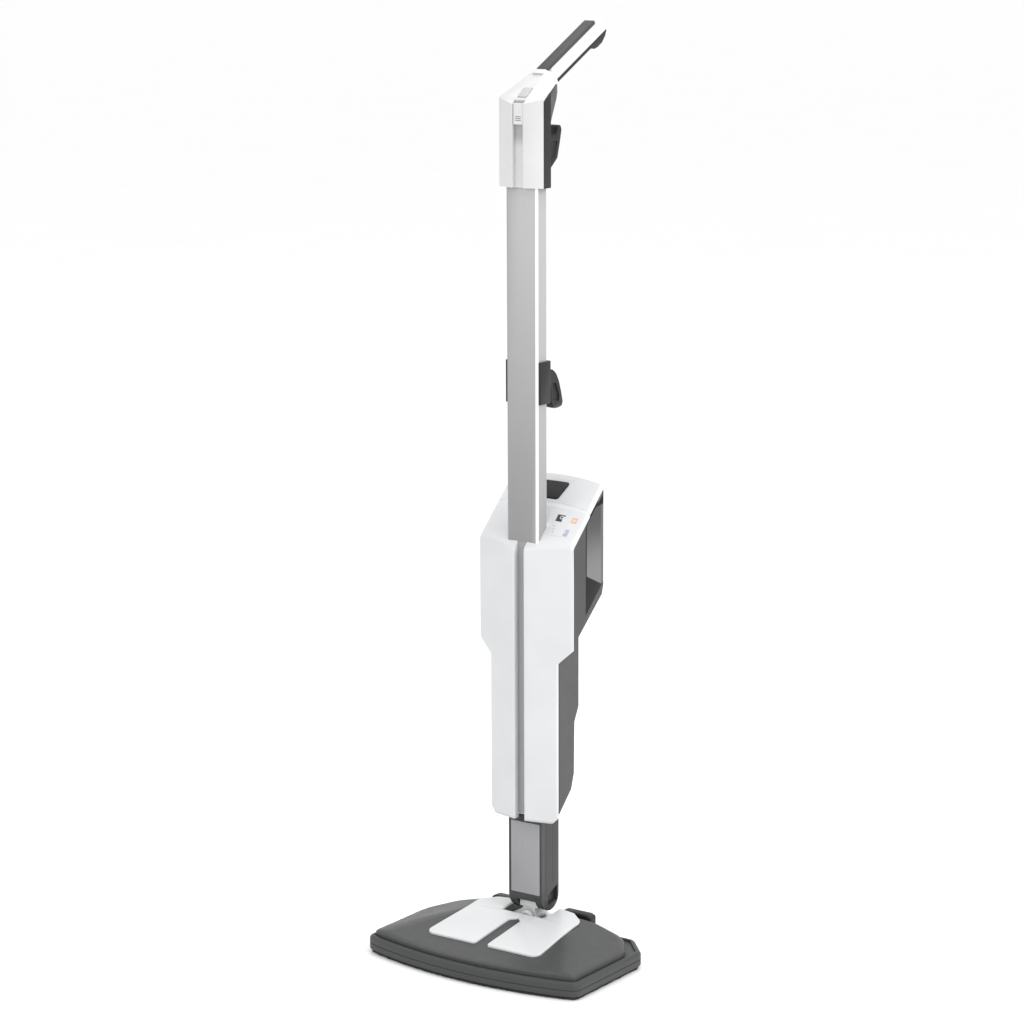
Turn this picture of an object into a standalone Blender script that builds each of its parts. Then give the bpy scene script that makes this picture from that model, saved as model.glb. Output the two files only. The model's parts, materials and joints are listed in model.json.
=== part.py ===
"""Steam mop, built as it comes apart on a bench. Metres, +Z up, -Y is the mop's front.

The origin is on the floor under the neck's pitch axis. The parts are mirror images about x = 0.
Outlines are written in the plane that they are cut in, and prism() gives them their depth.
"""
import math

import bmesh
import bpy
from mathutils import Matrix, Vector

# ---------------------------------------------------------------- driving sizes
GAP = 0.0003            # running gap left between touching pieces
SLIDE_GAP = 0.0006      # gap round a piece that moves
ROUND = 24              # sides of a round piece

PAD_THICK = 0.004       # microfibre cloth on the floor
HEAD_HALF_W = 0.165
HEAD_CORNER_Y = -0.145  # front corners of the head
HEAD_NOSE_Y = -0.1695   # middle of the bowed front edge
HEAD_SIDE_Y = 0.0030    # where the straight sides end
HEAD_REAR_Y = 0.0405
HEAD_REAR_HALF_W = 0.131
HEAD_RIM_Z = 0.0235
HEAD_WALL = 0.0032
HEAD_FLOOR = 0.004
COVER_INSET = 0.0075    # step between the rim and the raised cover
COVER_EDGE_Z = 0.0285   # height of the cover's lower edge
COVER_WALL = 0.0024
COVER_RISE = 0.14       # slope of the cover from its front edge
COVER_SIDE_Y = -0.022   # rear end of the cover's straight sides
COVER_REAR_Y = 0.0225
COVER_REAR_HALF_W = 0.130
LIP = 0.0030            # the cover stands on a lip of this width and depth
PLATE_PROUD = 0.003     # the two white plates stand this much above the cover
PLATE_HALF_GAP = 0.009
PLATE_HALF_W = 0.088
PLATE_FRONT_Y = -0.121
WELL_HALF_W = 0.034     # hollow in the cover where the neck leans over
WELL_FRONT_Y = -0.0252
SADDLE_Z = 0.0400       # top of the block in the hollow, clear of the rolling neck
BRIDGE_Y = -0.038       # the gap between the plates closes behind this line
SLOT_LEN = 0.030        # steam slots in the base
SLOT_W = 0.004
SLOT_PITCH = 0.062

PITCH_Y = -0.00165      # axis of the neck's pitch hinge
PITCH_Z = 0.073
ROLL_Z = 0.045          # axis of the knuckle's roll hinge
PIN_R = 0.004
NECK_HALF_W = 0.0260
NECK_HALF_D = 0.01935
NECK_TOP_Z = 0.2195
NECK_GAP_HALF_W = 0.0152
NECK_SKIRT_Z = 0.067
NECK_SKIRT_D = 0.0075
NECK_BRIDGE_Z = 0.097
WINDOW_DEPTH = 0.006
BARREL_R = 0.0095
PANEL_HALF_W = 0.0226
PANEL_LOW_Z = 0.0767
PANEL_HIGH_Z = 0.1729
PANEL_THICK = 0.0008

POLE_HALF_W = 0.0240
POLE_FRONT_Y = -0.0254
POLE_BACK_Y = -0.0033
POLE_WALL = 0.0014
POLE_LOW_Z = 0.223
POLE_HIGH_Z = 1.086

BODY_HALF_W = 0.0718    # upper half, with the tank
BODY_WAIST_HALF_W = 0.0516
BODY_LOW_Z = 0.178
BODY_STEP_LOW_Z = 0.391
BODY_STEP_HIGH_Z = 0.410
BODY_CREST_Y = -0.034   # the front is a shallow V, highest beside the channel
BODY_EDGE_Y = -0.0186   # where the V meets the side
BODY_REAR_Y = 0.0525
BODY_WAIST_REAR_Y = 0.0259
BODY_SKIN = 0.0022
BODY_SPLIT_Y = -0.0183  # front shell in front, rear shell behind
CHANNEL_HALF_W = 0.0073
CREST_X = 0.0086
TOP_EDGE_Y = -0.0126    # a point on the side edge of the sloped top
TOP_EDGE_Z = 0.5478
TOP_SLOPE = math.radians(44.0)
TOP_CROWN = 0.007       # the sloped top is this much higher in its middle
TOP_SAG = 0.0045        # drop of the crown from its middle to the chamfer
TOP_CHAMFER = 0.0048    # width of the chamfer along the top's sides
TOP_EDGE_DROP = 0.0010
LID_SEAM_Y = 0.0215     # seam between the shell's sloped face and the tank's lid
CAP_DEPTH = 0.0018      # the sloped faces reach this far down the side
BAY_FRONT_Y = 0.0124    # wall between the works and the tank
TANK_WALL = 0.0022
BAY_FLOOR_Z = 0.4505    # height of the tank's shelf at its front
BAY_FLOOR_RISE = 0.957  # the shelf climbs to the rear
MOUTH_Y = 0.0330        # the tank's fill mouth

COLLAR_LOW_Z = 0.722
COLLAR_HIGH_Z = 0.776
COLLAR_THICK = 0.003
HOOK_HALF_W = 0.0065
SWIVEL_Z = 0.747
SWIVEL_R = 0.009

HANDLE_HALF_W = 0.0337
HANDLE_LOW_Z = 0.994
HANDLE_BEND_Z = 1.104
HANDLE_EDGE_Y = -0.025
HANDLE_CREST_Y = -0.0335
HANDLE_REAR_Y = 0.005
HANDLE_TOP_Y = 0.018
HANDLE_TOP_Z = 1.1365
HANDLE_SKIN = 0.0021
HANDLE_SPLIT_Z = 1.1187  # the dark back ends below this height, under the grip's root
HANDLE_CHANNEL_HALF_W = 0.0082
CHANNEL_FLOOR_Y = -0.0279
GRIP_HALF_W = 0.0078
GRIP_TILT = math.radians(27.5)
GRIP_LEN = 0.150
GRIP_THICK = 0.028
INSERT_DEPTH = 0.0048
INSERT_START = 0.0095   # the soft insert starts this far up the grip

PARTS = "steam_mop"
CUTTERS = "steam_mop_cutters"


# ---------------------------------------------------------------- scene and materials
def clear_scene():
    for item in list(bpy.data.objects):
        bpy.data.objects.remove(item, do_unlink=True)
    for name in (PARTS, CUTTERS):
        bpy.context.scene.collection.children.link(bpy.data.collections.new(name))


def material(name, colour, roughness, metallic=0.0, alpha=1.0):
    """A Principled BSDF finish."""
    found = bpy.data.materials.get(name)
    if found:
        return found
    made = bpy.data.materials.new(name)
    made.use_nodes = True
    shader = made.node_tree.nodes["Principled BSDF"]
    shader.inputs["Base Color"].default_value = (*colour, 1.0)
    shader.inputs["Roughness"].default_value = roughness
    shader.inputs["Metallic"].default_value = metallic
    shader.inputs["Alpha"].default_value = alpha
    made.diffuse_color = (*colour, alpha)
    return made


def white_shell():
    return material("white_shell", (0.86, 0.87, 0.87), 0.3)


def grey_shell():
    return material("grey_shell", (0.13, 0.13, 0.135), 0.42)


def dark_plastic():
    return material("dark_plastic", (0.05, 0.05, 0.055), 0.5)


def soft_grip():
    return material("soft_grip", (0.045, 0.045, 0.05), 0.75)


def anodised():
    return material("anodised", (0.55, 0.56, 0.57), 0.34, 1.0)


def steel():
    return material("steel", (0.62, 0.62, 0.63), 0.28, 1.0)


def smoked():
    return material("smoked", (0.16, 0.17, 0.165), 0.12, 0.0, 0.6)


def microfibre():
    return material("microfibre", (0.78, 0.79, 0.8), 0.95)


def brass():
    return material("brass", (0.72, 0.55, 0.28), 0.35, 1.0)


def circuit():
    return material("circuit", (0.03, 0.2, 0.08), 0.55)


def silicone():
    return material("silicone", (0.5, 0.5, 0.48), 0.6)


def print_label():
    return material("print_label", (0.42, 0.45, 0.5), 0.5)


# ---------------------------------------------------------------- outlines
def rounded(corners, radius, steps=4):
    """A closed outline whose corners are arcs of one radius, or of one radius each."""
    count = len(corners)
    radii = radius if isinstance(radius, (list, tuple)) else [radius] * count
    points = []
    for index, corner in enumerate(corners):
        here = Vector(corner)
        before = Vector(corners[index - 1]) - here
        after = Vector(corners[(index + 1) % count]) - here
        if radii[index] <= 0.0:
            points.append(tuple(here))
            continue
        half = before.angle(after) / 2.0
        reach = radii[index] / math.tan(half)
        start = here + before.normalized() * reach
        end = here + after.normalized() * reach
        centre = here + (before.normalized() + after.normalized()).normalized() * (radii[index] / math.sin(half))
        turn = (start - centre).angle_signed(end - centre)
        for step in range(steps + 1):
            arm = (start - centre).copy()
            arm.rotate(Matrix.Rotation(-turn * step / steps, 2))
            points.append(tuple(centre + arm))
    return points


def inset(corners, distance):
    """The same polygon with every side moved inwards; corners run anticlockwise."""
    lines = []
    for index, corner in enumerate(corners):
        start = Vector(corner)
        end = Vector(corners[(index + 1) % len(corners)])
        side = (end - start).normalized()
        normal = Vector((-side.y, side.x))
        lines.append((start + normal * distance, side))
    moved = []
    for index, (start, side) in enumerate(lines):
        other, direction = lines[index - 1]
        cross = direction.x * side.y - direction.y * side.x
        offset = start - other
        reach = (offset.x * side.y - offset.y * side.x) / cross
        moved.append(tuple(other + direction * reach))
    return moved


def bar(low, high):
    return [(low[0], low[1]), (high[0], low[1]), (high[0], high[1]), (low[0], high[1])]


# ---------------------------------------------------------------- solids
AXES = {
    "X": Matrix(((0, 0, 1, 0), (1, 0, 0, 0), (0, 1, 0, 0), (0, 0, 0, 1))),
    "Y": Matrix(((1, 0, 0, 0), (0, 0, -1, 0), (0, 1, 0, 0), (0, 0, 0, 1))),
    "Z": Matrix.Identity(4),
}


def recentre(item):
    """Moves the object's origin to the middle of its mesh."""
    points = [vertex.co for vertex in item.data.vertices]
    low = Vector([min(point[axis] for point in points) for axis in range(3)])
    high = Vector([max(point[axis] for point in points) for axis in range(3)])
    middle = (low + high) / 2.0
    item.data.transform(Matrix.Translation(-middle))
    item.location = middle


def prism(name, outline, low, high, axis):
    """A flat outline with depth: (y, z) along X, (x, z) along Y or (x, y) along Z."""
    curve = bpy.data.curves.new(name, "CURVE")
    curve.dimensions = "2D"
    curve.fill_mode = "BOTH"
    curve.extrude = (high - low) / 2.0
    spline = curve.splines.new("POLY")
    spline.points.add(len(outline) - 1)
    for point, place in zip(spline.points, outline):
        point.co = (place[0], place[1], 0.0, 1.0)
    spline.use_cyclic_u = True
    flat = bpy.data.objects.new(name, curve)
    bpy.context.scene.collection.objects.link(flat)
    bpy.context.view_layer.update()
    graph = bpy.context.evaluated_depsgraph_get()
    mesh = bpy.data.meshes.new_from_object(flat.evaluated_get(graph))
    bpy.data.objects.remove(flat, do_unlink=True)
    middle = (low + high) / 2.0
    along = {"X": (middle, 0, 0), "Y": (0, middle, 0), "Z": (0, 0, middle)}[axis]
    mesh.transform(Matrix.Translation(along) @ AXES[axis])
    work = bmesh.new()
    work.from_mesh(mesh)
    bmesh.ops.remove_doubles(work, verts=work.verts, dist=1e-6)
    bmesh.ops.recalc_face_normals(work, faces=work.faces)
    work.to_mesh(mesh)
    work.free()
    mesh.name = name
    item = bpy.data.objects.new(name, mesh)
    bpy.context.scene.collection.objects.link(item)
    recentre(item)
    return item


def box(name, low, high):
    work = bmesh.new()
    size = [high[axis] - low[axis] for axis in range(3)]
    bmesh.ops.create_cube(work, size=1.0, matrix=Matrix.Diagonal((*size, 1.0)))
    mesh = bpy.data.meshes.new(name)
    work.to_mesh(mesh)
    work.free()
    item = bpy.data.objects.new(name, mesh)
    item.location = [(high[axis] + low[axis]) / 2.0 for axis in range(3)]
    bpy.context.scene.collection.objects.link(item)
    return item


def rod(name, start, end, radius, sides=ROUND, end_radius=None):
    """A round bar, or a cone, from one point to another."""
    start = Vector(start)
    end = Vector(end)
    work = bmesh.new()
    turn = Vector((0, 0, 1)).rotation_difference(end - start).to_matrix().to_4x4()
    tip = radius if end_radius is None else end_radius
    bmesh.ops.create_cone(work, cap_ends=True, segments=sides, radius1=radius, radius2=tip,
                          depth=(end - start).length, matrix=turn)
    mesh = bpy.data.meshes.new(name)
    work.to_mesh(mesh)
    work.free()
    item = bpy.data.objects.new(name, mesh)
    item.location = (start + end) / 2.0
    bpy.context.scene.collection.objects.link(item)
    return item


def hull(name, points):
    """The convex solid round a few points."""
    work = bmesh.new()
    for point in points:
        work.verts.new(point)
    bmesh.ops.convex_hull(work, input=work.verts)
    loose = [vertex for vertex in work.verts if not vertex.link_faces]
    bmesh.ops.delete(work, geom=loose, context="VERTS")
    bmesh.ops.recalc_face_normals(work, faces=work.faces)
    mesh = bpy.data.meshes.new(name)
    work.to_mesh(mesh)
    work.free()
    item = bpy.data.objects.new(name, mesh)
    bpy.context.scene.collection.objects.link(item)
    recentre(item)
    return item


def tube(name, points, radius):
    """A bent tube along a smooth run of points."""
    curve = bpy.data.curves.new(name, "CURVE")
    curve.dimensions = "3D"
    curve.bevel_depth = radius
    curve.bevel_resolution = 2
    curve.use_fill_caps = True
    spline = curve.splines.new("POLY")
    spline.points.add(len(points) - 1)
    for point, place in zip(spline.points, points):
        point.co = (*place, 1.0)
    item = bpy.data.objects.new(name, curve)
    bpy.context.scene.collection.objects.link(item)
    return item


def boolean(item, tool, operation):
    change = item.modifiers.new(operation.lower(), "BOOLEAN")
    change.operation = operation
    change.solver = "EXACT"
    change.object = tool
    tool.hide_render = True
    tool.display_type = "WIRE"
    if tool.name not in bpy.data.collections[CUTTERS].objects:
        bpy.data.collections[CUTTERS].objects.link(tool)
        bpy.context.scene.collection.objects.unlink(tool)


def cut(item, *tools):
    for tool in tools:
        boolean(item, tool, "DIFFERENCE")


def join(item, *tools):
    for tool in tools:
        boolean(item, tool, "UNION")


def keep(item, *tools):
    for tool in tools:
        boolean(item, tool, "INTERSECT")


def smooth(item):
    if item.type == "MESH":
        item.data.shade_smooth()
        item.data.set_sharp_from_angle(angle=math.radians(35.0))


def part(item, finish, carrier=None):
    """Puts a finished piece in the parts' collection, in its finish, under its carrier."""
    bpy.context.scene.collection.objects.unlink(item)
    bpy.data.collections[PARTS].objects.link(item)
    item.data.materials.append(finish)
    if carrier:
        item.parent = carrier
        item.location = Vector(item.location) - Vector(carrier["at"])
    return item


def carrier(name, at, parent=None):
    """An empty on a joint's axis, which carries the pieces that move with it."""
    empty = bpy.data.objects.new(name, None)
    empty["at"] = at
    empty.location = Vector(at) - (Vector(parent["at"]) if parent else Vector((0, 0, 0)))
    empty.parent = parent
    bpy.data.collections[CUTTERS].objects.link(empty)
    return empty


# ---------------------------------------------------------------- head
def head_corners():
    """The head's outline with sharp corners: bowed front, straight sides, tapered rear."""
    bow = HEAD_CORNER_Y - HEAD_NOSE_Y
    front = []
    for share in (0.0, 0.33, 0.67):
        front.append((HEAD_HALF_W * share, HEAD_NOSE_Y + bow * share * share))
    side = [(HEAD_HALF_W, HEAD_CORNER_Y), (HEAD_HALF_W, HEAD_SIDE_Y)]
    rear = [(HEAD_REAR_HALF_W, HEAD_REAR_Y - 0.0015), (0.0, HEAD_REAR_Y)]
    half = front + side + rear
    return half + [(-x, y) for x, y in reversed(half) if x > 1e-9]


def head_outline(distance):
    corners = inset(head_corners(), distance) if distance else head_corners()
    widest = max(x for x, y in corners)
    radii = [0.010 if abs(x) > widest - 1e-4 and y < -0.1 else 0.006 if abs(x) > widest - 1e-4 else 0.0
             for x, y in corners]
    return rounded(corners, radii)


def cover_corners():
    """The raised cover's outline: the head's in front, drawn in further at the rear corners."""
    edge = inset(head_corners(), COVER_INSET)
    front = [(x, y) for x, y in edge if y < -0.1]
    wide = HEAD_HALF_W - COVER_INSET
    right = [(x, y) for x, y in front if x >= 0.0]
    left = [(x, y) for x, y in front if x < 0.0]
    rear = [(wide, COVER_SIDE_Y), (COVER_REAR_HALF_W, COVER_REAR_Y - 0.0070), (0.060, COVER_REAR_Y),
            (-0.060, COVER_REAR_Y), (-COVER_REAR_HALF_W, COVER_REAR_Y - 0.0070), (-wide, COVER_SIDE_Y)]
    return right + rear + left


def cloth_pad():
    return prism("cloth_pad", head_outline(0.004), 0.0, PAD_THICK, "Z")


def head_base():
    low = PAD_THICK + GAP
    item = prism("head_base", head_outline(0.0), low, HEAD_RIM_Z, "Z")
    cut(item, prism("base_hollow", head_outline(HEAD_WALL), low + HEAD_FLOOR, HEAD_RIM_Z - LIP, "Z"))
    cut(item, prism("base_opening", inset(cover_corners(), LIP), HEAD_RIM_Z - LIP - 0.001, HEAD_RIM_Z + 0.01, "Z"))
    for row in (-0.105, -0.060):
        for column in (-1, 0, 1):
            middle = column * SLOT_PITCH
            cut(item, box("steam_slot", (middle - SLOT_LEN / 2, row - SLOT_W / 2, 0.0),
                          (middle + SLOT_LEN / 2, row + SLOT_W / 2, low + HEAD_FLOOR + 0.003)))
    return item


def steam_plate():
    """Spreads the steam over the slots."""
    low = PAD_THICK + HEAD_FLOOR + 2 * GAP
    outline = rounded(bar((-0.120, -0.125), (0.120, -0.036)), 0.012)
    item = prism("steam_plate", outline, low, low + 0.006, "Z")
    cut(item, prism("plate_channel", rounded(bar((-0.105, -0.113), (0.105, -0.048)), 0.006),
                    low - 0.002, low + 0.0035, "Z"))
    cut(item, rod("plate_inlet", (0, -0.080, low - 0.002), (0, -0.080, low + 0.02), 0.0045, 16))
    return item


def cover_height(y):
    """Height of the cover's roof at y."""
    return COVER_EDGE_Z + (y - HEAD_NOSE_Y - COVER_INSET) * COVER_RISE


def cover_points(shift):
    """Corners of the cover's roof, moved inwards by the wall when shift is above zero."""
    edge = inset(cover_corners(), shift) if shift else cover_corners()
    points = []
    for x, y in edge:
        points.append((x, y, HEAD_RIM_Z + GAP - shift))
        points.append((x, y, COVER_EDGE_Z - shift))
    for x, y in ((0.084, -0.034), (0.084, -0.012), (0.050, 0.006)):
        for side in (-1, 1):
            points.append((side * (x - shift), y - shift * 0.5, cover_height(y) - shift))
    return points


def well(grow, low):
    """The hollow that the leaning neck needs."""
    return box("neck_well", (-WELL_HALF_W - grow, WELL_FRONT_Y - grow, low), (WELL_HALF_W + grow, 0.1, 0.1))


def head_cover():
    item = hull("head_cover", cover_points(0.0))
    inner = hull("cover_inside", cover_points(COVER_WALL))
    cut(inner, well(COVER_WALL, HEAD_RIM_Z + COVER_WALL + 0.002))
    cut(item, inner)
    cut(item, well(0.0, HEAD_RIM_Z + GAP + COVER_WALL + 0.0015))
    cut(item, hull("rear_bar_room", rear_bar_points(0.0006)))
    return item


def cover_plate(name, side):
    """One of the two white plates, laid over the cover and following its slope."""
    outline = [(PLATE_HALF_GAP, PLATE_FRONT_Y), (PLATE_HALF_W, PLATE_FRONT_Y), (PLATE_HALF_W - 0.007, -0.030),
               (PLATE_HALF_W - 0.007, -0.012), (0.060, 0.004), (WELL_HALF_W + GAP, 0.008),
               (WELL_HALF_W + GAP, WELL_FRONT_Y - GAP), (GAP / 2, WELL_FRONT_Y - GAP), (GAP / 2, BRIDGE_Y),
               (PLATE_HALF_GAP, BRIDGE_Y - 0.006)]
    radii = [0.004, 0.010, 0.0, 0.012, 0.010, 0.003, 0.001, 0.0, 0.0, 0.003]
    shape = rounded(outline, radii)
    if side < 0:
        shape = [(-x, y) for x, y in reversed(shape)]
    item = prism(name, shape, COVER_EDGE_Z, 0.07, "Z")
    top = [(-0.2, cover_height(-0.2) + PLATE_PROUD), (0.05, cover_height(0.05) + PLATE_PROUD),
           (0.05, 0.02), (-0.2, 0.0)]
    keep(item, prism("plate_top", top, -0.15, 0.15, "X"))
    cut(item, hull("plate_bed", [(x, y, z + GAP) for x, y, z in cover_points(-GAP)]))
    return item


def rear_bar_points(grow):
    points = []
    for side in (-1, 1):
        for x, low, high in ((0.079, 0.034, 0.049), (0.073, 0.0275, 0.0515)):
            points.append((side * (x + grow), 0.013 - grow, low - grow))
            points.append((side * (x + grow), 0.013 - grow, high + grow))
            points.append((side * (x + grow), 0.027 + grow, low - grow))
            points.append((side * (x + grow), 0.027 + grow, high + grow))
    return points


def rear_bar(name, side):
    """Half of the rounded ridge behind the cover, on one side of the neck's hollow."""
    item = hull(name, rear_bar_points(0.0))
    edge = WELL_HALF_W + 0.001
    cut(item, box(name + "_end", (-side * 0.1 if side > 0 else -edge, -0.1, 0.0),
                  (edge if side > 0 else 0.1, 0.1, 0.1)))
    return item


def pivot_saddle():
    """White block in the hollow, which carries the roll pin between two lugs."""
    low = HEAD_RIM_Z + 2 * GAP + COVER_WALL + 0.0017
    edge = WELL_HALF_W - GAP
    outline = rounded(bar((-edge, WELL_FRONT_Y + GAP), (edge, 0.0215)), 0.002)
    item = prism("pivot_saddle", outline, low, SADDLE_Z, "Z")
    cut(item, box("stem_pocket", (-0.0130, -0.0138, 0.0330), (0.0130, 0.0112, 0.0600)))
    for front, back in ((-0.0215, -0.0145), (0.0115, 0.0185)):
        arch = [(-0.0105, SADDLE_Z - 0.001), (0.0105, SADDLE_Z - 0.001)]
        arch += [(0.008 * math.cos(turn), ROLL_Z + 0.008 * math.sin(turn))
                 for turn in [math.pi * step / 8 for step in range(9)]]
        join(item, prism("lug", arch, front, back, "Y"))
    cut(item, rod("roll_bore", (0, -0.03, ROLL_Z), (0, 0.03, ROLL_Z), PIN_R + GAP))
    return item


def roll_pin():
    return rod("roll_pin", (0, -0.0225, ROLL_Z), (0, 0.0195, ROLL_Z), PIN_R)


def steam_nozzle():
    low = PAD_THICK + HEAD_FLOOR + 0.006 + 4 * GAP
    item = rod("steam_nozzle", (0, -0.080, low), (0, -0.080, low + 0.012), 0.007)
    join(item, rod("nozzle_neck", (0, -0.080, low + 0.008), (0, -0.040, low + 0.008), 0.003, 16))
    cut(item, rod("nozzle_bore", (0, -0.080, low - 0.001), (0, -0.080, low + 0.009), 0.0022, 12))
    cut(item, rod("nozzle_way", (0, -0.080, low + 0.008), (0, -0.030, low + 0.008), 0.0016, 12))
    return item


def head_screw(name, x, y):
    low = PAD_THICK + HEAD_FLOOR + 2 * GAP
    item = rod(name, (x, y, low), (x, y, low + 0.0022), 0.0035, 16)
    join(item, rod("screw_stem", (x, y, low + 0.001), (x, y, low + 0.012), 0.0015, 12))
    return item


# ---------------------------------------------------------------- knuckle and neck
def knuckle():
    """White block that rolls on the saddle's pin and carries the neck's pitch pin."""
    item = rod("knuckle", (-0.0146, PITCH_Y, PITCH_Z), (0.0146, PITCH_Y, PITCH_Z), BARREL_R)
    stem = [(-0.0095, 0.070), (-0.0095, ROLL_Z)]
    stem += [(-0.0095 * math.cos(turn), ROLL_Z - 0.0095 * math.sin(turn))
             for turn in [math.pi * step / 8 for step in range(1, 8)]]
    stem += [(0.0095, ROLL_Z), (0.0095, 0.070)]
    join(item, prism("stem", list(reversed(stem)), -0.0128, 0.0108, "Y"))
    join(item, box("collar", (-0.0140, -0.0130, 0.0565), (0.0140, 0.0105, 0.0655)))
    cut(item, rod("pitch_bore", (-0.03, PITCH_Y, PITCH_Z), (0.03, PITCH_Y, PITCH_Z), PIN_R + GAP))
    cut(item, rod("stem_bore", (0, -0.03, ROLL_Z), (0, 0.03, ROLL_Z), PIN_R + GAP))
    return item


def pitch_pin():
    reach = NECK_HALF_W - WINDOW_DEPTH - GAP
    return rod("pitch_pin", (-reach, PITCH_Y, PITCH_Z), (reach, PITCH_Y, PITCH_Z), PIN_R)


def neck_fork():
    """Hollow neck whose two arms straddle the knuckle; the front skirt hides it."""
    front = PITCH_Y - NECK_HALF_D
    back = PITCH_Y + NECK_HALF_D
    side = [(front, NECK_TOP_Z)]
    side += [(PITCH_Y + NECK_HALF_D * math.cos(turn), PITCH_Z + NECK_HALF_D * math.sin(turn))
             for turn in [math.pi * (1.0 + step / 12) for step in range(13)]]
    side += [(back, NECK_TOP_Z)]
    item = prism("neck_fork", side, -NECK_HALF_W, NECK_HALF_W, "X")
    gap = NECK_GAP_HALF_W
    skirt = front + NECK_SKIRT_D
    cut(item, box("fork_gap", (-gap, skirt, 0.03), (gap, 0.05, NECK_BRIDGE_Z)))
    cut(item, box("fork_front", (-gap, -0.05, 0.03), (gap, skirt + 0.001, NECK_SKIRT_Z)))
    cut(item, box("neck_hollow", (-0.018, skirt, NECK_BRIDGE_Z - 0.001), (0.018, 0.0140, NECK_TOP_Z + 0.01)))
    window = [(-0.0078, 0.061), (0.0146, 0.0645), (0.0146, 0.0850), (-0.0078, 0.0745)]
    inner = NECK_HALF_W - WINDOW_DEPTH
    for side_sign in (-1, 1):
        low, high = sorted((side_sign * inner, side_sign * 0.03))
        cut(item, prism("arm_window", window, low, high, "X"))
    cut(item, rod("fork_bore", (-0.021, PITCH_Y, PITCH_Z), (0.021, PITCH_Y, PITCH_Z), PIN_R + GAP))
    pocket = PANEL_THICK + GAP
    cut(item, box("panel_pocket", (-PANEL_HALF_W - GAP, -0.05, PANEL_LOW_Z - GAP),
                  (PANEL_HALF_W + GAP, front + pocket, PANEL_HIGH_Z + GAP)))
    cut(item, box("button_room", (-0.0072, -0.05, 0.1745), (0.0072, front + 0.0052, 0.1860)))
    return item


def neck_panel():
    front = PITCH_Y - NECK_HALF_D
    return box("neck_panel", (-PANEL_HALF_W, front, PANEL_LOW_Z), (PANEL_HALF_W, front + PANEL_THICK, PANEL_HIGH_Z))


def neck_tube():
    """Carries steam down the hollow neck."""
    item = rod("neck_tube", (0, 0.002, 0.1005), (0, 0.002, 0.2260), 0.0048, 16)
    cut(item, rod("neck_tube_bore", (0, 0.002, 0.09), (0, 0.002, 0.24), 0.003, 12))
    return item


def neck_button():
    """Dark tab at the foot of the channel that frees the neck."""
    front = PITCH_Y - NECK_HALF_D
    return box("neck_button", (-0.0066, front - 0.0050, 0.1755), (0.0066, front + 0.0024, 0.1848))


# ---------------------------------------------------------------- body
def front_silhouette(wall):
    """Front view of the body: wide over the tank, narrow at the waist, cut corners."""
    half = [(0.0, BODY_LOW_Z), (0.044, BODY_LOW_Z + 0.0015), (BODY_WAIST_HALF_W, BODY_LOW_Z + 0.009),
            (BODY_WAIST_HALF_W, BODY_STEP_LOW_Z), (BODY_HALF_W, BODY_STEP_HIGH_Z), (BODY_HALF_W, 0.66)]
    corners = half + [(-x, z) for x, z in reversed(half) if x > 1e-9]
    return inset(corners, wall) if wall else corners


def plan_section(wall):
    """Plan of the body: a shallow V in front, square at the rear."""
    lift = wall * 1.05
    return [(-BODY_HALF_W + wall, BODY_EDGE_Y + lift), (-CREST_X, BODY_CREST_Y + lift),
            (CREST_X, BODY_CREST_Y + lift), (BODY_HALF_W - wall, BODY_EDGE_Y + lift),
            (BODY_HALF_W - wall, 0.07), (-BODY_HALF_W + wall, 0.07)]


def side_profile(wall):
    """Side view of the body: tank housing over a slimmer waist with a sloped foot."""
    corners = [(-0.060, 0.1490), (0.0092, 0.2189), (0.0154, 0.2388), (0.0165, 0.3069),
               (BODY_WAIST_REAR_Y, 0.326), (BODY_WAIST_REAR_Y, 0.4514), (0.0490, 0.4718),
               (BODY_REAR_Y, 0.484), (BODY_REAR_Y, 0.66), (-0.060, 0.66)]
    return inset(corners, wall) if wall else corners


def crown_height(share):
    """Rise of the sloped top at a share of the way from its middle to the chamfer."""
    return TOP_CROWN - TOP_SAG * share * share


def body_form(name, wall):
    """The body's outer form, or the same form inside a wall."""
    item = prism(name, front_silhouette(wall), -0.05, 0.08, "Y")
    keep(item, prism(name + "_plan", plan_section(wall), 0.10, 0.70, "Z"))
    keep(item, prism(name + "_side", side_profile(wall), -0.10, 0.10, "X"))
    crown = [(-0.10, -0.30), (0.10, -0.30), (0.10, -TOP_EDGE_DROP - wall - 0.03),
             (BODY_HALF_W, -TOP_EDGE_DROP - wall)]
    crown += [((BODY_HALF_W - TOP_CHAMFER) * share / 6, crown_height(share / 6) - wall) for share in range(6, -7, -1)]
    crown += [(-BODY_HALF_W, -TOP_EDGE_DROP - wall), (-0.10, -TOP_EDGE_DROP - wall - 0.03)]
    roof = prism(name + "_roof", crown, -0.45, 0.25, "Y")
    roof.data.transform(Matrix.Translation(roof.location))
    roof.location = (0.0, TOP_EDGE_Y, TOP_EDGE_Z)
    roof.rotation_euler = (TOP_SLOPE, 0.0, 0.0)
    keep(item, roof)
    under = [(-0.060, BODY_STEP_LOW_Z - 0.15), (0.10, BODY_STEP_LOW_Z - 0.15), (0.10, 0.5167 + wall),
             (-0.0053, 0.4242 + wall), (-0.060, 0.3761 + wall)]
    for side in (-1, 1):
        low, high = sorted((side * (BODY_WAIST_HALF_W - wall), side * 0.12))
        cut(item, prism(name + "_under", under, low, high, "X"))
    return item


def slope_z(y, down=0.0):
    """Height of the sloped top's side edge at y, lowered square to the slope."""
    return TOP_EDGE_Z + (y - TOP_EDGE_Y) * math.tan(TOP_SLOPE) - down / math.cos(TOP_SLOPE)


def cap_line(down):
    """Depth below the slope at which the front shell and the lid end."""
    return CAP_DEPTH + down


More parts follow.
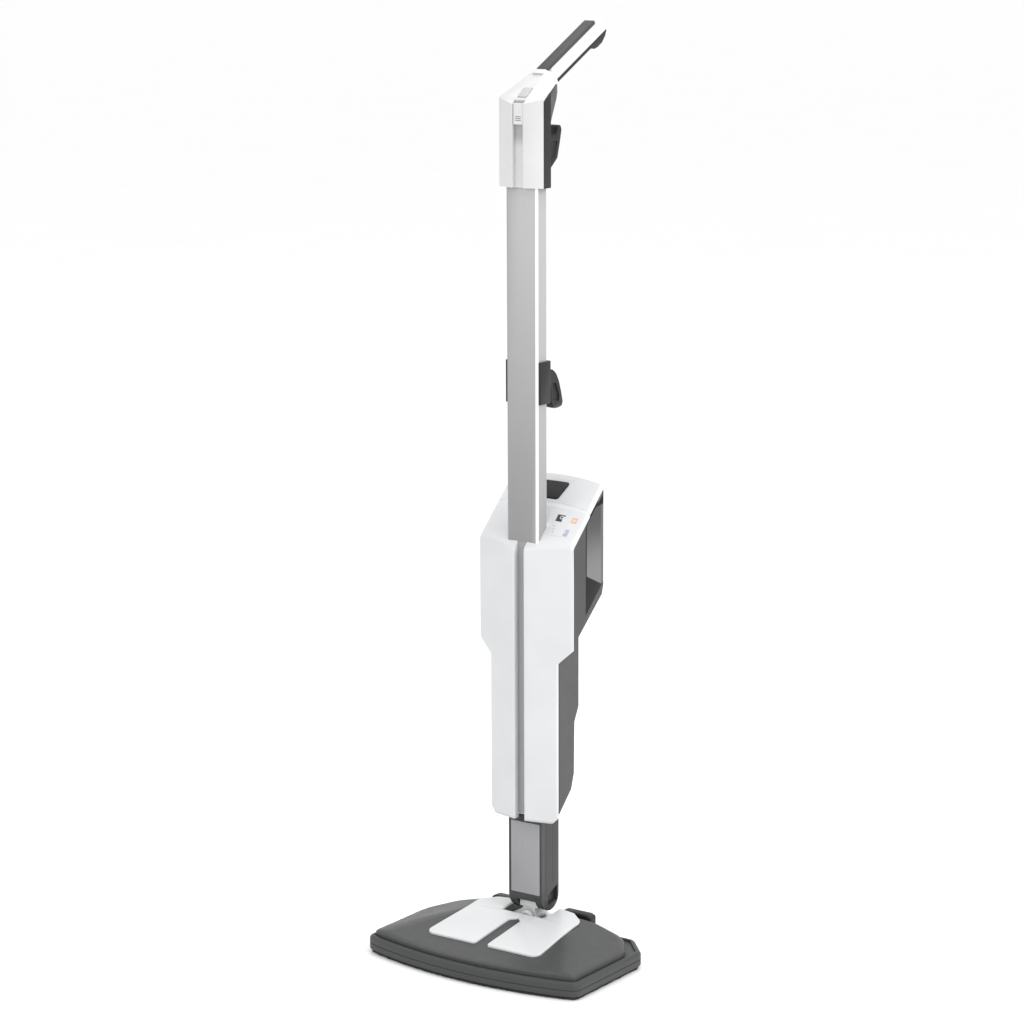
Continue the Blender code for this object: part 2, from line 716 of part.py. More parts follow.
def pole_room(grow, low, high):
    return box("pole_room", (-POLE_HALF_W - grow, POLE_FRONT_Y - grow, low),
               (POLE_HALF_W + grow, POLE_BACK_Y + grow, high))


def front_shell():
    """White V-shaped front with the spine's channel, turning over into the sloped face."""
    item = body_form("front_shell", 0.0)
    cut(item, body_form("front_inside", BODY_SKIN))
    down = cap_line(0.0)
    behind = [(BODY_SPLIT_Y, 0.10), (0.10, 0.10), (0.10, 0.75), (LID_SEAM_Y, 0.75),
              (LID_SEAM_Y, slope_z(LID_SEAM_Y, down)), (BODY_SPLIT_Y, slope_z(BODY_SPLIT_Y, down))]
    cut(item, prism("front_split", behind, -0.12, 0.12, "X"))
    for side in (-1, 1):
        low, high = sorted((side * (CHANNEL_HALF_W + 0.0001), side * (CHANNEL_HALF_W + 0.0021)))
        join(item, box("channel_wall", (low, -0.0330, 0.182), (high, POLE_FRONT_Y - GAP, 0.545)))
    neck = NECK_HALF_W + 0.0005
    cut(item, box("front_neck_room", (-neck, PITCH_Y - NECK_HALF_D - 0.0005, 0.10), (neck, 0.10, 0.245)))
    cut(item, box("channel", (-CHANNEL_HALF_W, -0.06, 0.10), (CHANNEL_HALF_W, POLE_FRONT_Y, 0.60)))
    cut(item, pole_room(0.0005, 0.10, 0.70))
    return item


def rear_shell():
    """Grey housing of the works, with a shelf and a wall round the tank's bay."""
    item = body_form("rear_shell", 0.0)
    cut(item, body_form("rear_inside", BODY_SKIN))
    bay = [(BAY_FRONT_Y, BAY_FLOOR_Z), (0.10, BAY_FLOOR_Z + (0.10 - BAY_FRONT_Y) * BAY_FLOOR_RISE), (0.10, 0.75),
           (BAY_FRONT_Y, 0.75)]
    wall = 0.0022
    top = slope_z(BAY_FRONT_Y, cap_line(0.0)) - 0.001
    inner = BODY_HALF_W - BODY_SKIN + 0.0005
    cut(item, prism("tank_bay", bay, -0.12, 0.12, "X"))
    shelf = [(BAY_FRONT_Y - wall, BAY_FLOOR_Z - wall * 1.4), (BODY_REAR_Y - 0.0010, BAY_FLOOR_Z - wall * 1.4
              + (BODY_REAR_Y - 0.0010 - BAY_FRONT_Y + wall) * BAY_FLOOR_RISE),
             (BODY_REAR_Y - 0.0010, BAY_FLOOR_Z + (BODY_REAR_Y - 0.0010 - BAY_FRONT_Y) * BAY_FLOOR_RISE),
             (BAY_FRONT_Y, BAY_FLOOR_Z), (BAY_FRONT_Y, top), (BAY_FRONT_Y - wall, top - 0.002)]
    join(item, prism("shelf", shelf, -inner, inner, "X"))
    down = cap_line(GAP)
    front = [(-0.10, 0.10), (BODY_SPLIT_Y + GAP, 0.10), (BODY_SPLIT_Y + GAP, slope_z(BODY_SPLIT_Y + GAP, down)),
             (0.10, slope_z(0.10, down)), (0.10, 0.80), (-0.10, 0.80)]
    cut(item, prism("rear_split", front, -0.12, 0.12, "X"))
    neck = NECK_HALF_W + 0.0005
    cut(item, box("neck_room", (-neck, -0.05, 0.10), (neck, PITCH_Y + NECK_HALF_D + 0.0005, 0.245)))
    cut(item, rod("gland_hole", (0, 0.0, 0.395), (0, 0.04, 0.395), 0.0062))
    cut(item, rod("valve_hole", (0.035, 0.030, 0.440), (0.035, 0.030, 0.490), 0.0075))
    for x, z in REAR_SCREWS:
        cut(item, rod("screw_hole", (x, 0.0, z), (x, 0.05, z), 0.0022, 12))
    return item


REAR_SCREWS = ((-0.040, 0.250), (0.040, 0.250), (-0.040, 0.405), (0.040, 0.405))


def rear_screw(name, x, z):
    rear = 0.0154 if z < 0.3 else BODY_WAIST_REAR_Y
    item = rod(name, (x, rear + 0.0006, z), (x, rear + 0.0026, z), 0.0034, 16)
    join(item, rod("screw_stem", (x, rear - 0.009, z), (x, rear + 0.001, z), 0.0015, 12))
    return item


def spine_strip():
    """Bright aluminium strip that fills the channel, flush with the pole."""
    return box("spine_strip", (-CHANNEL_HALF_W + GAP, POLE_FRONT_Y - 0.0016, 0.1862),
               (CHANNEL_HALF_W - GAP, POLE_FRONT_Y - 0.0004, 0.5500))


def control_label():
    """Printed panel on the sloped face, right of the pole."""
    outline = rounded(bar((POLE_HALF_W + 0.004, 0.002), (0.060, 0.033)), 0.002, 3)
    item = prism("control_label", outline, 0.0, 0.0005, "Z")
    item.data.transform(Matrix.Translation(item.location))
    half = BODY_HALF_W - TOP_CHAMFER
    middle = (POLE_HALF_W + 0.004 + 0.060) / 2.0
    roll = math.atan(2.0 * TOP_SAG * middle / half ** 2)
    lift = crown_height(middle / half) + middle * math.tan(roll) + GAP
    base = Matrix.Rotation(TOP_SLOPE, 4, "X") @ Matrix.Translation((0, 0, lift)) @ Matrix.Rotation(roll, 4, "Y")
    item.rotation_euler = base.to_euler()
    item.location = Vector((0.0, TOP_EDGE_Y - 0.001, TOP_EDGE_Z)) + base.to_translation()
    return item


def chassis():
    """Inner frame behind the pole: the pole's socket, and the seat of the neck."""
    item = box("chassis", (-0.036, POLE_BACK_Y + 0.0004, 0.2300), (0.036, -0.0004, 0.5250))
    low = box("chassis_waist", (-0.0480, POLE_FRONT_Y + 0.005, NECK_TOP_Z + 0.0004),
              (0.0480, 0.0060, 0.2320))
    join(item, low)
    cut(item, pole_room(0.0004, POLE_LOW_Z + 0.004, 0.60))
    cut(item, rod("chassis_way", (0, 0.002, 0.20), (0, 0.002, 0.24), 0.0052, 16))
    cut(item, pole_room(0.0004, POLE_LOW_Z - 0.0003, 0.30))
    for height in (0.300, 0.440):
        cut(item, rod("chassis_window", (0.0, -0.01, height), (0.0, 0.01, height), 0.006, 16))
    return item


def boiler():
    item = prism("boiler", rounded(bar((-0.034, 0.0008), (0.034, 0.0126)), 0.004), 0.2400, 0.3060, "Z")
    join(item, prism("boiler_head", rounded(bar((-0.034, 0.0008), (0.034, 0.0225)), 0.006), 0.3300, 0.3860, "Z"))
    join(item, prism("boiler_waist", rounded(bar((-0.030, 0.0008), (0.030, 0.0122)), 0.004), 0.3050, 0.3310, "Z"))
    return item


def heater():
    """Sheathed element clipped along the boiler's flank."""
    return tube("heater", [(0.0375, 0.0075, 0.262 + 0.006 * step) for step in range(20)], 0.0026)


def thermostat():
    item = rod("thermostat", (0.0, 0.0085, 0.3866), (0.0, 0.0085, 0.3926), 0.0075)
    join(item, box("thermostat_tags", (-0.005, 0.0075, 0.391), (0.005, 0.0090, 0.3990)))
    return item


def pump():
    item = rod("pump", (0.050, -0.0040, 0.440), (0.050, -0.0040, 0.492), 0.0110)
    join(item, rod("pump_outlet", (0.050, -0.0040, 0.432), (0.050, -0.0040, 0.442), 0.0035, 16))
    return item


def pump_mount():
    item = box("pump_mount", (0.0345, -0.0160, 0.4505), (0.0655, 0.0093, 0.4655))
    cut(item, rod("pump_seat", (0.050, -0.0040, 0.44), (0.050, -0.0040, 0.48), 0.0113))
    cut(item, box("mount_back", (0.030, -0.0038, 0.44), (0.0442, 0.012, 0.48)))
    return item


def circuit_board():
    item = box("circuit_board", (-0.064, -0.0090, 0.4300), (-0.028, -0.0074, 0.5120))
    join(item, box("relay", (-0.058, -0.0080, 0.470), (-0.040, 0.0045, 0.485)))
    join(item, rod("capacitor", (-0.048, -0.0080, 0.450), (-0.048, 0.0080, 0.450), 0.005, 16))
    return item


def water_tube():
    """From the tank's valve seat to the pump."""
    points = [(0.035 + 0.0009 * step, 0.0205 - 0.0016 * step, 0.4525 - 0.0022 * step) for step in range(11)]
    return tube("water_tube", points, 0.0024)


def steam_tube():
    return tube("steam_tube", [(0.0, 0.0070, 0.2265 + 0.002 * step) for step in range(6)], 0.0024)


def valve_seat():
    item = rod("valve_seat", (0.035, 0.030, 0.4525), (0.035, 0.030, 0.4590), 0.0062)
    cut(item, rod("valve_seat_bore", (0.035, 0.030, 0.4545), (0.035, 0.030, 0.46), 0.0042, 16))
    return item


def cord_gland():
    """Where the mains lead leaves the body; the lead itself isn't part of this model."""
    item = rod("cord_gland", (0, BODY_WAIST_REAR_Y - 0.0075, 0.395), (0, BODY_WAIST_REAR_Y + 0.0065, 0.395),
               0.0058, end_radius=0.0050)
    join(item, rod("gland_flange", (0, BODY_WAIST_REAR_Y + 0.0004, 0.395), (0, BODY_WAIST_REAR_Y + 0.0024, 0.395),
                   0.0085))
    cut(item, rod("gland_bore", (0, BODY_WAIST_REAR_Y - 0.02, 0.395), (0, BODY_WAIST_REAR_Y + 0.02, 0.395),
                  0.0034, 16))
    return item


# ---------------------------------------------------------------- tank
def tank_polygon(shrink):
    return [(BAY_FRONT_Y + 0.0008 + shrink, BAY_FLOOR_Z + 0.0012 + shrink * 1.4),
            (0.10, BAY_FLOOR_Z + 0.0012 + (0.10 - BAY_FRONT_Y - 0.0008) * BAY_FLOOR_RISE + shrink * 0.4),
            (0.10, 0.66),
            (BAY_FRONT_Y + 0.0008 + shrink, slope_z(BAY_FRONT_Y + 0.0008 + shrink, cap_line(2 * GAP) + shrink))]


def tank_top(shrink):
    """Line under the lid."""
    down = cap_line(2 * GAP) + shrink
    return [(-0.10, slope_z(-0.10, down)), (0.20, slope_z(0.20, down)), (0.20, 0.9), (-0.10, 0.9)]


def water_tank():
    item = body_form("water_tank", 0.0)
    keep(item, prism("tank_block", tank_polygon(0.0), -0.10, 0.10, "X"))
    cut(item, prism("tank_lid_room", tank_top(0.0), -0.12, 0.12, "X"))
    inside = body_form("tank_inside", TANK_WALL)
    keep(inside, prism("tank_inner_block", tank_polygon(TANK_WALL), -0.10, 0.10, "X"))
    cut(inside, prism("tank_inner_top", tank_top(TANK_WALL), -0.12, 0.12, "X"))
    cut(item, inside)
    cut(item, rod("tank_mouth", (-0.045, MOUTH_Y, 0.52), (-0.045, MOUTH_Y, 0.62), 0.0100))
    cut(item, rod("tank_outlet", (0.035, 0.030, 0.45), (0.035, 0.030, 0.50), 0.0042, 16))
    return item


def tank_cap():
    """Stopper in the fill mouth, under the lid."""
    mouth = slope_z(MOUTH_Y, cap_line(0.0))
    return rod("tank_cap", (-0.045, MOUTH_Y, mouth - 0.0100), (-0.045, MOUTH_Y, mouth - 0.0040), 0.0096)


def tank_valve():
    item = rod("tank_valve", (0.035, 0.030, 0.4728), (0.035, 0.030, 0.4860), 0.0036, 16)
    join(item, rod("valve_head", (0.035, 0.030, 0.4790), (0.035, 0.030, 0.4850), 0.0065, 16))
    return item


def tank_lid():
    """White cap of the tank, on the slope behind the seam."""
    item = body_form("tank_lid", 0.0)
    inside = body_form("lid_inside", BODY_SKIN)
    cut(item, inside)
    down = cap_line(-GAP)
    below = [(-0.20, 0.0), (0.20, 0.0), (0.20, slope_z(0.20, down)), (-0.20, slope_z(-0.20, down))]
    cut(item, prism("lid_below", below, -0.12, 0.12, "X"))
    cut(item, box("lid_front", (-0.12, -0.12, 0.3), (0.12, LID_SEAM_Y + GAP, 0.8)))
    room = button_form("button_room_lid", SLIDE_GAP, 0.02)
    cut(item, room)
    return item


def button_form(name, grow, deep):
    """Rounded trapezoid in the lid, square to the slope."""
    outline = rounded([(-0.019 - grow, 0.0170 - grow), (0.019 + grow, 0.0170 - grow),
                       (0.026 + grow, 0.0440 + grow), (-0.026 - grow, 0.0440 + grow)], 0.004)
    item = prism(name, outline, TOP_CROWN - 0.0040 - deep, TOP_CROWN + 0.0012 + deep, "Z")
    item.data.transform(Matrix.Translation(item.location))
    item.location = (0.0, LID_SEAM_Y - 0.004, slope_z(LID_SEAM_Y - 0.004))
    item.rotation_euler = (TOP_SLOPE, 0.0, 0.0)
    return item


# ---------------------------------------------------------------- pole and cord hooks
def pole():
    """Hollow aluminium extrusion from the body to the handle."""
    outline = rounded(bar((-POLE_HALF_W, POLE_FRONT_Y), (POLE_HALF_W, POLE_BACK_Y)), 0.0034, 4)
    inner = rounded(bar((-POLE_HALF_W + POLE_WALL, POLE_FRONT_Y + POLE_WALL),
                        (POLE_HALF_W - POLE_WALL, POLE_BACK_Y - POLE_WALL)), 0.0020, 4)
    item = prism("pole", outline, POLE_LOW_Z, POLE_HIGH_Z, "Z")
    cut(item, prism("pole_bore", inner, POLE_LOW_Z - 0.01, POLE_HIGH_Z + 0.01, "Z"))
    return item


def hook_collar():
    """Clip round the pole's sides and back, with the swivel's boss."""
    out = POLE_HALF_W + COLLAR_THICK
    outline = rounded(bar((-out, POLE_FRONT_Y + 0.0022), (out, POLE_BACK_Y + COLLAR_THICK + 0.0008)), 0.0015, 2)
    item = prism("hook_collar", outline, COLLAR_LOW_Z, COLLAR_HIGH_Z, "Z")
    cut(item, pole_room(GAP, 0.6, 0.9))
    boss = rod("swivel_boss", (0, POLE_BACK_Y + 0.0014, SWIVEL_Z), (0, POLE_BACK_Y + 0.0066, SWIVEL_Z), SWIVEL_R)
    join(item, boss)
    cut(item, rod("swivel_bore", (0, POLE_BACK_Y + 0.0012, SWIVEL_Z), (0, 0.02, SWIVEL_Z), 0.0033, 16))
    return item


def swivel_pin():
    item = rod("swivel_pin", (0, POLE_BACK_Y + 0.0016, SWIVEL_Z), (0, 0.0145, SWIVEL_Z), 0.0030, 16)
    return item


def hook_recess(name, outline):
    """Shallow hollows in both sides of a hook."""
    web = HOOK_HALF_W - 0.0022
    return [prism(name, outline, low, high, "X") for low, high in ((-0.02, -web), (web, 0.02))]


def lower_cord_hook():
    """Swivelling hook, blade down at rest."""
    low = POLE_BACK_Y + 0.0069
    side = [(low, 0.7370), (0.0280, 0.7370), (0.0300, 0.7345), (0.0305, 0.7185), (0.0350, 0.7095), (0.0419, 0.7072),
            (0.0485, 0.7070), (0.0541, 0.7094), (0.0563, 0.7149), (0.0520, 0.7304), (0.0477, 0.7425),
            (0.0420, 0.7522), (0.0348, 0.7585), (0.0280, 0.7597), (low, 0.7597)]
    item = prism("lower_cord_hook", side, -HOOK_HALF_W, HOOK_HALF_W, "X")
    face = rounded(bar((-HOOK_HALF_W, 0.7068), (HOOK_HALF_W, 0.7599)), 0.0045, 3)
    keep(item, prism("hook_face", face, -0.01, 0.08, "Y"))
    hollow = [(0.0330, 0.7195), (0.0469, 0.7165), (0.0480, 0.7240), (0.0405, 0.7405), (0.0330, 0.7415)]
    cut(item, *hook_recess("lower_hollow", hollow))
    cut(item, rod("hook_bore", (0, -0.01, SWIVEL_Z), (0, 0.0150, SWIVEL_Z), 0.0033, 16))
    return item


def upper_cord_hook():
    """Fixed hook on the handle's back, open upwards."""
    low = HANDLE_REAR_Y + 0.0004
    side = [(low, 1.0080), (0.0200, 1.0085), (0.0328, 1.0156), (0.0451, 1.0256), (0.0507, 1.0455), (0.0543, 1.0608),
            (0.0525, 1.0655), (0.0490, 1.0672), (0.0462, 1.0655), (0.0445, 1.0600), (0.0415, 1.0545),
            (0.0360, 1.0525), (0.0300, 1.0535), (0.0265, 1.0580), (0.0255, 1.0640), (0.0220, 1.0665), (low, 1.0665)]
    item = prism("upper_cord_hook", side, -HOOK_HALF_W, HOOK_HALF_W, "X")
    hollow = [(0.0100, 1.0160), (0.0300, 1.0205), (0.0405, 1.0290), (0.0450, 1.0470), (0.0300, 1.0475),
              (0.0100, 1.0475)]
    cut(item, *hook_recess("upper_hollow", hollow))
    return item


# ---------------------------------------------------------------- handle
def handle_plan(wall):
    lift = wall * 1.1
    return [(-HANDLE_HALF_W + wall, HANDLE_EDGE_Y + lift), (-HANDLE_CHANNEL_HALF_W - 0.001, HANDLE_CREST_Y + lift),
            (HANDLE_CHANNEL_HALF_W + 0.001, HANDLE_CREST_Y + lift), (HANDLE_HALF_W - wall, HANDLE_EDGE_Y + lift),
            (HANDLE_HALF_W - wall, -0.0090 - wall * 0.5), (0.022, HANDLE_REAR_Y - wall),
            (-0.022, HANDLE_REAR_Y - wall), (-HANDLE_HALF_W + wall, -0.0090 - wall * 0.5)]


def face_height(y):
    """Height of the sloped face at y."""
    rise = (HANDLE_TOP_Z - HANDLE_BEND_Z) / (HANDLE_TOP_Y - HANDLE_EDGE_Y)
    return HANDLE_BEND_Z + (y - HANDLE_EDGE_Y) * rise


def handle_points(wall):
    """Corners of the white face: V plan, sloped shoulder, root of the grip."""
    lift = wall * 1.1
    low = HANDLE_LOW_Z - (0.01 if wall else 0.0)
    wide = HANDLE_HALF_W - wall
    crest_x = HANDLE_CHANNEL_HALF_W + 0.001
    crest = HANDLE_CREST_Y + lift
    drop = wall * 1.55
    grip = GRIP_HALF_W - wall * 0.4
    half = [(wide, HANDLE_EDGE_Y + lift, low), (crest_x, crest, low),
            (wide, HANDLE_EDGE_Y + lift, face_height(HANDLE_EDGE_Y + lift) - drop),
            (crest_x, crest, face_height(crest) - drop),
            (grip, HANDLE_TOP_Y, HANDLE_TOP_Z - drop), (grip, HANDLE_TOP_Y + 0.010 - wall, HANDLE_TOP_Z + 0.0052 - drop),
            (grip, 0.040 - wall * 2.5, HANDLE_SPLIT_Z + wall), (0.0290 - wall, 0.0055, HANDLE_SPLIT_Z - wall * 2),
            (wide, HANDLE_EDGE_Y + 0.003, low)]
    return [(side * x, y, z) for side in (-1, 1) for x, y, z in half]


def handle_front_shell():
    """White face of the handle, with the channel, and the grip's white core."""
    item = hull("handle_front_shell", handle_points(0.0))
    inside = hull("handle_inside", handle_points(HANDLE_SKIN))
    wall = HANDLE_CHANNEL_HALF_W + 0.002
    cut(inside, box("channel_block", (-wall, -0.06, 0.9), (wall, CHANNEL_FLOOR_Y + 0.0018, 1.2)))
    cut(item, inside)
    cut(item, box("handle_channel", (-HANDLE_CHANNEL_HALF_W, -0.06, 0.9),
                  (HANDLE_CHANNEL_HALF_W, CHANNEL_FLOOR_Y, 1.106)))
    rear = [(HANDLE_EDGE_Y, 0.90), (0.09, 0.90), (0.09, HANDLE_SPLIT_Z), (0.0055, HANDLE_SPLIT_Z),
            (HANDLE_EDGE_Y, HANDLE_BEND_Z - 0.003)]
    cut(item, prism("handle_split", rear, -0.06, 0.06, "X"))
    join(item, grip_form("grip_core"))
    cut(item, grip_recess("top_recess", 1, GAP), grip_recess("bottom_recess", -1, GAP))
    cut(item, power_room())
    return item


def grip_place(item):
    """Tilts a piece made along +Y at the grip's root."""
    item.data.transform(Matrix.Translation(item.location))
    item.location = (0.0, HANDLE_TOP_Y - 0.0021, HANDLE_TOP_Z - 0.0156)
    item.rotation_euler = (GRIP_TILT, 0.0, 0.0)
    return item


def grip_form(name):
    """Straight bar with a rounded end; its outline is a side view along the grip."""
    half = GRIP_THICK / 2.0
    side = [(0.014, -half), (GRIP_LEN - 0.016, -half)]
    side += [(GRIP_LEN - 0.016 + 0.016 * math.cos(turn), half * math.sin(turn))
             for turn in [math.pi * (step / 8 - 0.5) for step in range(1, 8)]]
    side += [(GRIP_LEN - 0.016, half), (0.0, half)]
    return grip_place(prism(name, side, -GRIP_HALF_W, GRIP_HALF_W, "X"))


def grip_recess(name, side, grow):
    """Room in the grip for the soft insert above, or the dark one below."""
    half = GRIP_THICK / 2.0
    inner = half - INSERT_DEPTH - grow
    start = INSERT_START if side > 0 else 0.0250
    end = GRIP_LEN - (0.020 if side > 0 else -0.02)
    low, high = sorted((side * inner, side * (half + 0.02)))
    return grip_place(box(name, (-0.05, start - grow, low), (0.05, end + grow, high)))


def grip_top_insert():
    half = GRIP_THICK / 2.0
    outline = rounded(bar((INSERT_START, half - INSERT_DEPTH), (GRIP_LEN - 0.020, half)), 0.0012, 2)
    return grip_place(prism("grip_top_insert", outline, -GRIP_HALF_W, GRIP_HALF_W, "X"))


def grip_bottom_insert():
    """Dark underside strip that ends in the hooked knob."""
    half = GRIP_THICK / 2.0
    start = 0.0250
    end = GRIP_LEN - 0.001
    side = [(start, -half), (end - 0.040, -half), (end - 0.034, -half - 0.0045), (end - 0.027, -half - 0.0060),
            (end - 0.016, -half - 0.0058), (end - 0.006, -half - 0.0020), (end, -half + 0.003),
            (end, -half + INSERT_DEPTH), (start, -half + INSERT_DEPTH)]
    return grip_place(prism("grip_bottom_insert", side, -GRIP_HALF_W, GRIP_HALF_W, "X"))


def flare(name, wall):
    """Back of the handle that swells to meet the underside of the grip's root."""
    half = [(0.0225 - wall, 0.0045 - wall, 1.0680), (0.0215 - wall, 0.0120 - wall, 1.0875),
            (0.0150 - wall, 0.0300 - wall * 1.4, 1.1010 + wall * 0.8), (0.0110 - wall, 0.0380 - wall * 1.6, 1.1085 + wall),
            (0.0085 - wall, 0.0405 - wall * 1.6, 1.1300), (0.0290 - wall, 0.0, 1.1300), (0.0290 - wall, -0.0080, 1.0680)]
    return hull(name, [(side * x, y, z) for side in (-1, 1) for x, y, z in half])


def handle_rear_shell():
    """Dark back of the handle, closed round the pole."""
    item = prism("handle_rear_shell", handle_plan(0.0), HANDLE_LOW_Z, 1.14, "Z")
    join(item, flare("flare", 0.0))
    cut(item, prism("rear_hollow", handle_plan(HANDLE_SKIN), 0.9, 1.16, "Z"))
    cut(item, flare("flare_inside", HANDLE_SKIN))
    front = [(-0.06, 0.9), (HANDLE_EDGE_Y + GAP, 0.9), (HANDLE_EDGE_Y + GAP, HANDLE_BEND_Z - 0.003 - GAP),
             (0.0050, HANDLE_SPLIT_Z - GAP * 2), (0.10, HANDLE_SPLIT_Z - GAP * 2), (0.10, 1.3), (-0.06, 1.3)]
    cut(item, prism("handle_rear_split", front, -0.06, 0.06, "X"))
    wide = GRIP_HALF_W + GAP
    cut(item, grip_place(box("grip_room", (-wide, 0.0, -GRIP_THICK / 2 - GAP), (wide, GRIP_LEN, GRIP_THICK))))
    cut(item, pole_room(0.0004, 0.9, POLE_HIGH_Z + 0.0005))
    for x, z in HANDLE_SCREWS:
        cut(item, rod("handle_screw_hole", (x, 0.0, z), (x, 0.03, z), 0.0019, 12))
    return item


HANDLE_SCREWS = ((-0.0145, 1.0120), (0.0145, 1.0120))


def handle_screw(name, x, z):
    item = rod(name, (x, HANDLE_REAR_Y + 0.0004, z), (x, HANDLE_REAR_Y + 0.0020, z), 0.0030, 16)
    join(item, rod("screw_stem", (x, HANDLE_REAR_Y - 0.0065, z), (x, HANDLE_REAR_Y + 0.001, z), 0.0013, 12))
    return item


def steam_slider():
    """Slides down the handle's channel to let steam out."""
    return box("steam_slider", (-0.0072, CHANNEL_FLOOR_Y - 0.0042, 1.0722), (0.0072, CHANNEL_FLOOR_Y - GAP, 1.0985))


def power_outline(grow):
    return rounded(bar((-0.0065 - grow, 0.0020 - grow), (0.0065 + grow, 0.0195 + grow)), 0.002, 3)


def power_place(item):
    slope = math.atan2(HANDLE_TOP_Z - HANDLE_BEND_Z, HANDLE_TOP_Y - HANDLE_EDGE_Y)
    item.data.transform(Matrix.Translation(item.location))
    item.location = (0.0, HANDLE_EDGE_Y, HANDLE_BEND_Z)
    item.rotation_euler = (slope, 0.0, 0.0)
    return item


def power_room():
    return power_place(prism("power_room", power_outline(SLIDE_GAP), -0.010, 0.02, "Z"))


def power_button():
    """Push button on the handle's sloped face."""
    return power_place(prism("power_button", power_outline(0.0), -0.0025, 0.0010, "Z"))


def handle_switch():
    """Microswitch under the power button."""
    return box("handle_switch", (-0.006, -0.0190, 1.0935), (0.006, -0.0120, 1.1020))


# ---------------------------------------------------------------- assembly
def build_head():
    part(cloth_pad(), microfibre())
    part(head_base(), grey_shell())
    part(steam_plate(), silicone())
    part(steam_nozzle(), silicone())
    part(head_cover(), grey_shell())
    part(cover_plate("cover_plate_left", -1), white_shell())
    part(cover_plate("cover_plate_right", 1), white_shell())
    part(rear_bar("rear_bar_left", -1), dark_plastic())
    part(rear_bar("rear_bar_right", 1), dark_plastic())
    part(pivot_saddle(), dark_plastic())
    part(roll_pin(), steel())
    for index, (x, y) in enumerate(((-0.135, -0.125), (0.135, -0.125), (-0.135, -0.015), (0.135, -0.015))):
        part(head_screw(f"head_screw_{index + 1}", x, y), steel())


def build_neck(main, knuckle_at):
    part(knuckle(), white_shell(), knuckle_at)
    part(pitch_pin(), steel(), knuckle_at)
    part(neck_fork(), dark_plastic(), main)
    part(neck_panel(), anodised(), main)
    part(neck_tube(), silicone(), main)


def build_body(main):
    part(front_shell(), white_shell(), main)
    part(rear_shell(), grey_shell(), main)
    part(spine_strip(), anodised(), main)
    part(control_label(), print_label(), main)
    part(chassis(), dark_plastic(), main)
    part(boiler(), steel(), main)
    part(heater(), steel(), main)
    part(thermostat(), brass(), main)
    part(pump(), dark_plastic(), main)
    part(pump_mount(), silicone(), main)
    part(circuit_board(), circuit(), main)
    part(water_tube(), silicone(), main)
    part(steam_tube(), silicone(), main)
    part(valve_seat(), silicone(), main)
    part(cord_gland(), dark_plastic(), main)
    for index, (x, z) in enumerate(REAR_SCREWS):
        part(rear_screw(f"rear_screw_{index + 1}", x, z), steel(), main)


def build_pole(main):
    part(pole(), anodised(), main)
    part(hook_collar(), dark_plastic(), main)
    part(swivel_pin(), steel(), main)
    part(upper_cord_hook(), dark_plastic(), main)


def build_handle(main):
    part(handle_front_shell(), white_shell(), main)
    part(handle_rear_shell(), dark_plastic(), main)
    part(grip_top_insert(), soft_grip(), main)
    part(grip_bottom_insert(), dark_plastic(), main)
    part(handle_switch(), dark_plastic(), main)
    for index, (x, z) in enumerate(HANDLE_SCREWS):
        part(handle_screw(f"handle_screw_{index + 1}", x, z), steel(), main)


def build_tank(tank, button):
    part(water_tank(), smoked(), tank)
    part(tank_lid(), white_shell(), tank)
    part(tank_cap(), dark_plastic(), tank)
    part(tank_valve(), brass(), tank)
    part(button_form("tank_button", 0.0, 0.0), dark_plastic(), button)


def main():
    clear_scene()
    roll = carrier("roll_axis", (0.0, 0.0, ROLL_Z))
    pitch = carrier("pitch_axis", (0.0, PITCH_Y, PITCH_Z), roll)
    tank = carrier("tank_path", (0.0, BAY_FRONT_Y, BAY_FLOOR_Z), pitch)
    button = carrier("tank_button_path", (0.0, LID_SEAM_Y, slope_z(LID_SEAM_Y)), tank)
    swivel = carrier("swivel_axis", (0.0, 0.0, SWIVEL_Z), pitch)
    slider = carrier("slider_path", (0.0, CHANNEL_FLOOR_Y, HANDLE_BEND_Z), pitch)
    power = carrier("power_path", (0.0, HANDLE_EDGE_Y, HANDLE_BEND_Z), pitch)
    tab = carrier("neck_button_path", (0.0, PITCH_Y - NECK_HALF_D, 0.180), pitch)
    build_head()
    build_neck(pitch, roll)
    build_body(pitch)
    build_pole(pitch)
    build_handle(pitch)
    build_tank(tank, button)
    part(lower_cord_hook(), dark_plastic(), swivel)
    part(steam_slider(), white_shell(), slider)
    part(power_button(), silicone(), power)
    part(neck_button(), dark_plastic(), tab)
    for item in bpy.data.collections[PARTS].objects:
        smooth(item)


main()
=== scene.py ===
import math

